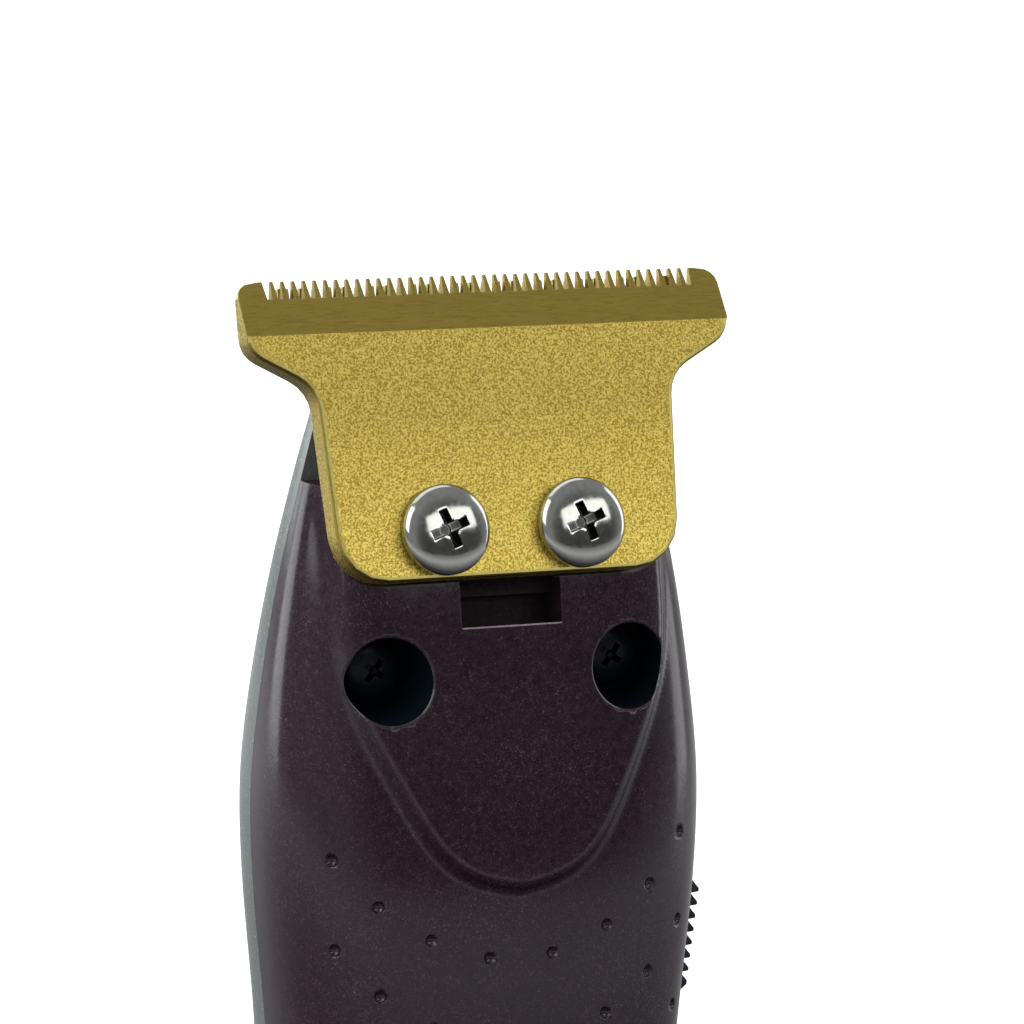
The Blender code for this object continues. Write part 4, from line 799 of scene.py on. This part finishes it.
def dimpleTool():
    bm = bmesh.new()
    for row in range(dimples["rows"]):
        for across, height in dimples["places"]:
            for sign in (-1, 1):
                x, z = sign * across * (1 - 0.012 * row), height - row * dimples["rowStep"]
                y = frontSkin(x, z)
                step = 0.2
                outward = Vector((frontSkin(x + step, z) - y, -step, frontSkin(x, z + step) - y)).normalized()
                middle = Vector((x, y, z)) + outward * dimples["lift"]
                bmesh.ops.create_uvsphere(
                    bm, u_segments=20, v_segments=12, radius=dimples["radius"],
                    matrix=Matrix.Translation(middle),
                )
    return moved(bm)


def outlineCorners(grow):
    right = []
    for index, (across, along, radius) in enumerate(bladeOutline):
        drop = grow if index == 0 else -grow
        right.append((across + grow, along + drop, radius + (grow if index == 3 else 0)))
    return right + [(-across, along, radius) for across, along, radius in reversed(right)]


def switchFrame():
    reach = 5.0
    low, high = sectionAt(switchSeat["height"] - reach)[0], sectionAt(switchSeat["height"] + reach)[0]
    lean = math.atan2(high - low, 2 * reach)
    middle = sectionAt(switchSeat["height"])[0]
    return Matrix.Translation((middle, 0, switchSeat["height"])) @ Matrix.Rotation(lean, 4, "Y")


def switchTools():
    side, reach, travel = switchSeat["side"], switchSeat["reach"], switchSeat["travel"]
    seat = block((-switchSeat["depth"], 30), (-side, side), (-reach, reach + travel), switchFrame())
    slot = block((-4, 1), (-1.5, 1.5), (-2.0, 2.0 + travel), switchFrame())
    return [linked("seatTool", seat), linked("slotTool", slot)]


def halfSpace(sign, top):
    edges = sorted((sign * housing["seam"], sign * 60))
    return linked("halfTool", block((-60, 60), edges, (-60, top)))


def innerSkin(grow=-housing["wall"]):
    heights = [-2.0] + bodyHeights(2.0, 149.0) + [151.0]
    return linked("innerTool", bodySkin(96, heights, grow))


def bosses(sign, radius):
    for _, x, height in wellPlaces():
        ends = sorted((sign * housing["seam"], sign * housing["bossReach"]))
        boss = linked("boss", rodAlongY(radius, *ends, (x, height), 48))
        carve(boss, "INTERSECT", innerSkin(-1.0))
        yield boss


def paintShadeInHollows(shell):
    # The wells and the pocket's ledge and floor take darker copies of the plum as painted shade, and the
    # pocket's lower lip takes a pale plum as a painted highlight.
    intoHead = (toMetres @ headFrame).inverted()
    near = 0.05
    for face in shell.data.polygons:
        middle = face.center / mm
        deep = middle.y - frontSkin(middle.x, middle.z)
        inWell = any(
            math.hypot(middle.x - x, middle.z - height) < wells["radius"] + near
            for _, x, height in wellPlaces()
        )
        onHead = intoHead @ face.center
        across = abs(onHead.x) < pocket["halfWidth"] + near
        inPocket = across and pocket["low"] - near < onHead.z < pocket["foot"]
        outside = middle.y < -2.5 and deep > wells["rim"] + near
        inside = inPocket and -1 < onHead.y < pocket["floor"] + near and deep > 0.2
        face.material_index = 2 if inWell and outside else 1 if inside else 0
    bm = bmesh.new()
    bm.from_mesh(shell.data)
    lip = []
    for edge in bm.edges:
        ends = [intoHead @ vert.co for vert in edge.verts]
        low = all(
            abs(end.z - pocket["low"]) < 0.03 and abs(end.x) < pocket["halfWidth"] + near for end in ends
        )
        if low and all(end.y < pocket["step"] - 0.5 for end in ends) and edge.calc_face_angle(0) > 0.7:
            flat = abs(ends[0].y - ends[1].y) < 0.3 * abs(ends[0].x - ends[1].x)
            lip += [edge] if flat else []
    # The lip's bevel takes the pale plum as a painted highlight.
    bmesh.ops.bevel(
        bm, geom=lip, offset=0.13 * mm, offset_type="OFFSET", segments=1, profile=0.5,
        affect="EDGES", clamp_overlap=False, material=3,
    )
    bm.to_mesh(shell.data)
    bm.free()
    return len(lip)


def makeFrontHousing():
    heights = bodyHeights(housing["low"], housing["rearTop"], housing["fineStep"])
    shell = linked("frontHousing", bodySkin(housing["columns"], heights, raised=True))
    carve(shell, "INTERSECT", halfSpace(-1, housing["frontTop"]))
    carve(shell, "DIFFERENCE", innerSkin())
    carve(shell, "UNION", *bosses(-1, wells["radius"] + wells["wall"]))
    p = pocket
    pad = block(
        (-p["halfWidth"] - p["rim"], p["halfWidth"] + p["rim"]), (2.8, p["floor"] + p["rim"]),
        (p["low"] - p["rim"], p["foot"] - 0.2), headFrame,
    )
    carve(shell, "UNION", linked("padTool", pad))
    seat = roundedPlate(outlineCorners(bladeSeat["gap"]), -40, bladeSeat["behind"], headFrame)
    wide = (-p["halfWidth"], p["halfWidth"])
    step = block(wide, (-40, p["step"]), (p["ledge"] - 0.01, p["foot"]), headFrame)
    hollow = block(wide, (-40, p["floor"]), (p["low"] - 0.01, p["ledge"]), headFrame)
    tools = [linked("seatTool", seat), linked("stepTool", step), linked("hollowTool", hollow)]
    for _, x, height in wellPlaces():
        tools.append(linked("wellTool", wellTool(x, height)))
        tools.append(linked("holeTool", rodAlongY(wells["holeRadius"], -4, 1, (x, height), 40)))
    for x in (-bladeScrews["across"], bladeScrews["across"]):
        hole = rodAlongY(bladeScrews["holeRadius"], -1, 6, (x, bladeScrews["along"]), 40, matrix=headFrame)
        tools.append(linked("holeTool", hole))
    tools.append(linked("windowTool", rodAlongY(1.4, -30, 0, (0, 56.0), 56)))
    tools.append(linked("dimpleTool", dimpleTool()))
    carve(shell, "DIFFERENCE", *tools, *switchTools())
    lips = paintShadeInHollows(shell)
    looks = ("plumLacquer", "plumShade", "wellShade", "plumLip")
    settle(shell, "front_housing", [finish[look] for look in looks], crease=70)
    print("front housing,", len(shell.data.polygons), "faces,", lips, "lip edges")


def makeRearHousing():
    heights = bodyHeights(housing["low"], housing["rearTop"], 0.8)
    shell = linked("rearHousing", bodySkin(176, heights))
    carve(shell, "INTERSECT", halfSpace(1, housing["rearTop"]))
    carve(shell, "DIFFERENCE", innerSkin())
    carve(shell, "UNION", *bosses(1, wells["bossRadius"]))
    pilots = [
        linked("pilotTool", rodAlongY(wells["pilotRadius"], -1, 5.3, (x, height), 32))
        for _, x, height in wellPlaces()
    ]
    carve(shell, "DIFFERENCE", *pilots, *switchTools())
    settle(shell, "rear_housing", crease=40)
    print("rear housing,", len(shell.data.polygons), "faces")


def nameOf(node):
    return "".join(word.capitalize() if index else word for index, word in enumerate(node.split("_")))


def roundedCopy(node, width):
    # A CAD solid, merged, its flats joined up and its edges rounded.
    bm = bmesh.new()
    bm.from_mesh(nodes[node].data)
    bmesh.ops.remove_doubles(bm, verts=bm.verts, dist=1e-6)
    bmesh.ops.dissolve_limit(bm, angle_limit=math.radians(0.8), verts=bm.verts, edges=bm.edges)
    sharp = [e for e in bm.edges if len(e.link_faces) == 2 and e.calc_face_angle(0) > math.radians(28)]
    made = bmesh.ops.bevel(
        bm, geom=sharp, offset=width * mm, offset_type="OFFSET", segments=2, profile=0.5,
        affect="EDGES", clamp_overlap=True, material=-1,
    )
    bmesh.ops.recalc_face_normals(bm, faces=bm.faces)
    shade(bm, 32, made["faces"])
    return settle(linked(nameOf(node), bm), node, crease=0)


def makeFixedBlade():
    # The plate's rim is broken by a wide chamfer, the teeth only by a hair. The low chamfer faces that look
    # to the front carry a painted highlight, and the others carry the ground gold.
    bm = bmesh.new()
    bm.from_mesh(nodes["fixed_blade"].data)
    bmesh.ops.remove_doubles(bm, verts=bm.verts, dist=1e-6)
    bmesh.ops.dissolve_limit(bm, angle_limit=math.radians(0.8), verts=bm.verts, edges=bm.edges)
    bmesh.ops.transform(bm, matrix=(toMetres @ headFrame).inverted(), verts=bm.verts)
    for face in bm.faces:
        band = face.normal.z > 0.2 and face.normal.y < -0.5
        teeth = face.calc_center_median().z > -1.6 and abs(face.normal.y) < 0.5
        face.material_index = 1 if band or teeth else 0

    def isRim(edge):
        flat = all(abs(vert.co.y) < 0.02 for vert in edge.verts)
        low = any(vert.co.z < -4.5 for vert in edge.verts)
        inner = all(
            abs(abs(vert.co.x) - bladeScrews["across"]) < 1.9 and abs(vert.co.z - bladeScrews["along"]) < 1.9
            for vert in edge.verts
        )
        return flat and low and not inner and edge.calc_face_angle(0) > 0.5

    wideFaces = set(bmesh.ops.bevel(
        bm, geom=[e for e in bm.edges if isRim(e)], offset=0.36, offset_type="OFFSET", segments=3,
        profile=0.5, affect="EDGES", clamp_overlap=False, material=2,
    )["faces"])
    sharp = [
        e for e in bm.edges
        if e.calc_face_angle(0) > 0.5 and not wideFaces.intersection(e.link_faces) and e.calc_length() > 0.12
    ]
    bmesh.ops.bevel(
        bm, geom=sharp, offset=0.045, offset_type="OFFSET", segments=2, profile=0.5,
        affect="EDGES", clamp_overlap=True, material=2,
    )
    rims = [face for face in bm.faces if face.material_index == 2]
    bm.normal_update()
    for face in rims:
        if face.normal.y > -0.85 or face.calc_center_median().z > -4.2:
            face.material_index = 1
    bmesh.ops.transform(bm, matrix=toMetres @ headFrame, verts=bm.verts)
    bmesh.ops.recalc_face_normals(bm, faces=bm.faces)
    shade(bm, 32, rims)
    looks = ("blastedGold", "groundGold", "brightGold")
    settle(linked("fixedBlade", bm), "fixed_blade", [finish[look] for look in looks], crease=0)
    print("fixed blade,", len(rims), "rim faces")


def spunSolid(profile, at, matrix, steps=72):
    # A profile of (radius, depth) points turned about the line through at, along Y.
    bm = bmesh.new()
    verts = [bm.verts.new((at[0] + radius, depth, at[1])) for radius, depth in profile]
    edges = [bm.edges.new(pair) for pair in zip(verts, verts[1:])]
    bmesh.ops.spin(
        bm, geom=verts + edges, cent=(at[0], 0, at[1]), axis=(0, 1, 0), angle=math.tau,
        steps=steps, use_merge=True,
    )
    bmesh.ops.remove_doubles(bm, verts=bm.verts, dist=1e-4)
    bmesh.ops.recalc_face_normals(bm, faces=bm.faces)
    return moved(bm, matrix)


def crossTools(at, top, radius, depth, turn, matrix):
    tools = []
    for quarter in (0, 90):
        bm = bmesh.new()
        bmesh.ops.create_cube(bm, size=2)
        for vert in bm.verts:
            deep = vert.co.y > 0
            vert.co.x *= radius * (0.36 if deep else 0.54)
            vert.co.z *= radius * (0.09 if deep else 0.125)
            vert.co.y = top + (depth * (1 + quarter / 1500) if deep else -1.0 - quarter / 400)
        spin = Matrix.Rotation(math.radians(turn + quarter), 4, "Y")
        bmesh.ops.transform(bm, matrix=Matrix.Translation((at[0], 0, at[1])) @ spin, verts=bm.verts)
        tools.append(linked("crossTool", moved(bm, matrix)))
    cone = rodAlongY(radius * 0.27, top - 1.5, top + depth * 1.15, at, 24, radius * 0.12, matrix)
    return tools + [linked("coneTool", cone)]


def makeScrew(node, at, face, head, shank, reach, turn, looks, matrix=Matrix.Identity(4)):
    radius, height = head
    profile = [(0.0, face - height)]
    for step in range(1, 13):
        lean = math.radians(90 * step / 12)
        profile.append((radius * math.sin(lean), face - height * (0.48 + 0.52 * math.cos(lean))))
    profile += [
        (radius, face - 0.10 * height), (radius - 0.10, face), (shank + 0.15, face), (shank, face + 0.15),
        (shank, reach - 0.4), (shank - 0.35, reach), (0.0, reach),
    ]
    screw = linked(nameOf(node), spunSolid(profile, at, matrix))
    carve(screw, "DIFFERENCE", *crossTools(at, face - height, radius, height * 0.66, turn, matrix))
    bm = bmesh.new()
    bm.from_mesh(screw.data)
    back = (toMetres @ matrix).inverted()
    # Painted shade: faces down inside the cross recess take the darker copy of the nickel.
    for facet in bm.faces:
        middle = back @ facet.calc_center_median()
        across = math.hypot(middle.x - at[0], middle.z - at[1]) / radius
        dome = face - height * (0.48 + 0.52 * math.sqrt(max(1 - across**2, 0.0)))
        facet.material_index = 1 if across < 0.6 and dome + 0.06 < middle.y < face else 0
    rim = [e for e in bm.edges if len(e.link_faces) == 2 and e.calc_face_angle(0) > 0.62]
    bmesh.ops.bevel(
        bm, geom=rim, offset=0.035 * mm, offset_type="OFFSET", segments=2, profile=0.5,
        affect="EDGES", clamp_overlap=True, material=0,
    )
    bm.to_mesh(screw.data)
    bm.free()
    return settle(screw, node, [finish[look] for look in looks], crease=33)


def makeScrews():
    looks = ("polishedNickel", "nickelShade")
    for side, x in (("left", -bladeScrews["across"]), ("right", bladeScrews["across"])):
        place = (x, bladeScrews["along"])
        makeScrew(f"blade_screw_{side}", place, -0.05, (3.5, 1.9), 1.5, 6.95, -20, looks, headFrame)
    for name, x, height in wellPlaces():
        # The housing screws, nickel in the record, take the near-black finish as painted shade, so that the
        # deep wells read dark.
        makeScrew(f"housing_screw_{name}", (x, height), -3.05, (2.4, 1.6), 1.1, 5.0, 35, ["blackOxide"] * 2)
    print("screws made")


def makeLightPipe():
    low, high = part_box("light_pipe")
    front, back = low.y / mm, high.y / mm
    dome = ((0.0, 0.0), (0.5, 0.02), (0.95, 0.12), (1.22, 0.30), (1.3, 0.55))
    profile = [(radius, front + rise) for radius, rise in dome]
    profile += [(1.3, back - 0.1), (1.2, back), (0.0, back)]
    pipe = linked("lightPipe", spunSolid(profile, (0.0, 56.0), Matrix.Identity(4), 48))
    settle(pipe, "light_pipe", crease=33)


capShape = {
    "edge": 1.1, "height": 3.0, "plugTop": 7.0, "plugInset": 2.2, "hollowInset": 3.6, "inlet": (5.4, 3.6),
}


def makeBottomCap():
    edge, height, plugTop = capShape["edge"], capShape["height"], capShape["plugTop"]
    foot = [0.0, 0.04, 0.15, 0.34, 0.58, 0.84, 1.1]

    def rounding(at):
        return -(edge - math.sqrt(max(edge**2 - (edge - min(at, edge)) ** 2, 0.0)))

    cap = linked("bottomCap", bodySkin(176, foot + [1.7, 2.4, height], growAt=rounding))
    plug = bodySkin(120, [height - 1, 4.0, plugTop], -capShape["plugInset"])
    carve(cap, "UNION", linked("plugTool", plug))
    hollow = linked("hollowTool", bodySkin(120, [height, 5.0, plugTop + 1], -capShape["hollowInset"]))
    across, deep = capShape["inlet"]
    carve(cap, "DIFFERENCE", hollow, linked("inletTool", block((-across, across), (-deep, deep), (-1, 6))))
    settle(cap, "bottom_cap", crease=30)


def makeCarriedNodes(names):
    # Inner parts and small solids keep the CAD shape with rounded edges.
    for node in names:
        roundedCopy(node, 0.07 if node in ("moving_cutter", "tension_spring") else 0.10)


makeCamera(cameraSetup)
makeLamps(lampSetup)
makeRoom(roomSetup)
makeFloor(roomSetup)
print("studio ready")
makeFrontHousing()
makeRearHousing()
makeFixedBlade()
makeScrews()
makeLightPipe()
makeBottomCap()
done = {"front_housing", "rear_housing", "fixed_blade", "light_pipe", "bottom_cap"}
done |= {node for node in nodes if node.startswith(("blade_screw", "housing_screw"))}
makeCarriedNodes(sorted(set(nodes) - done))
print("all pieces made")
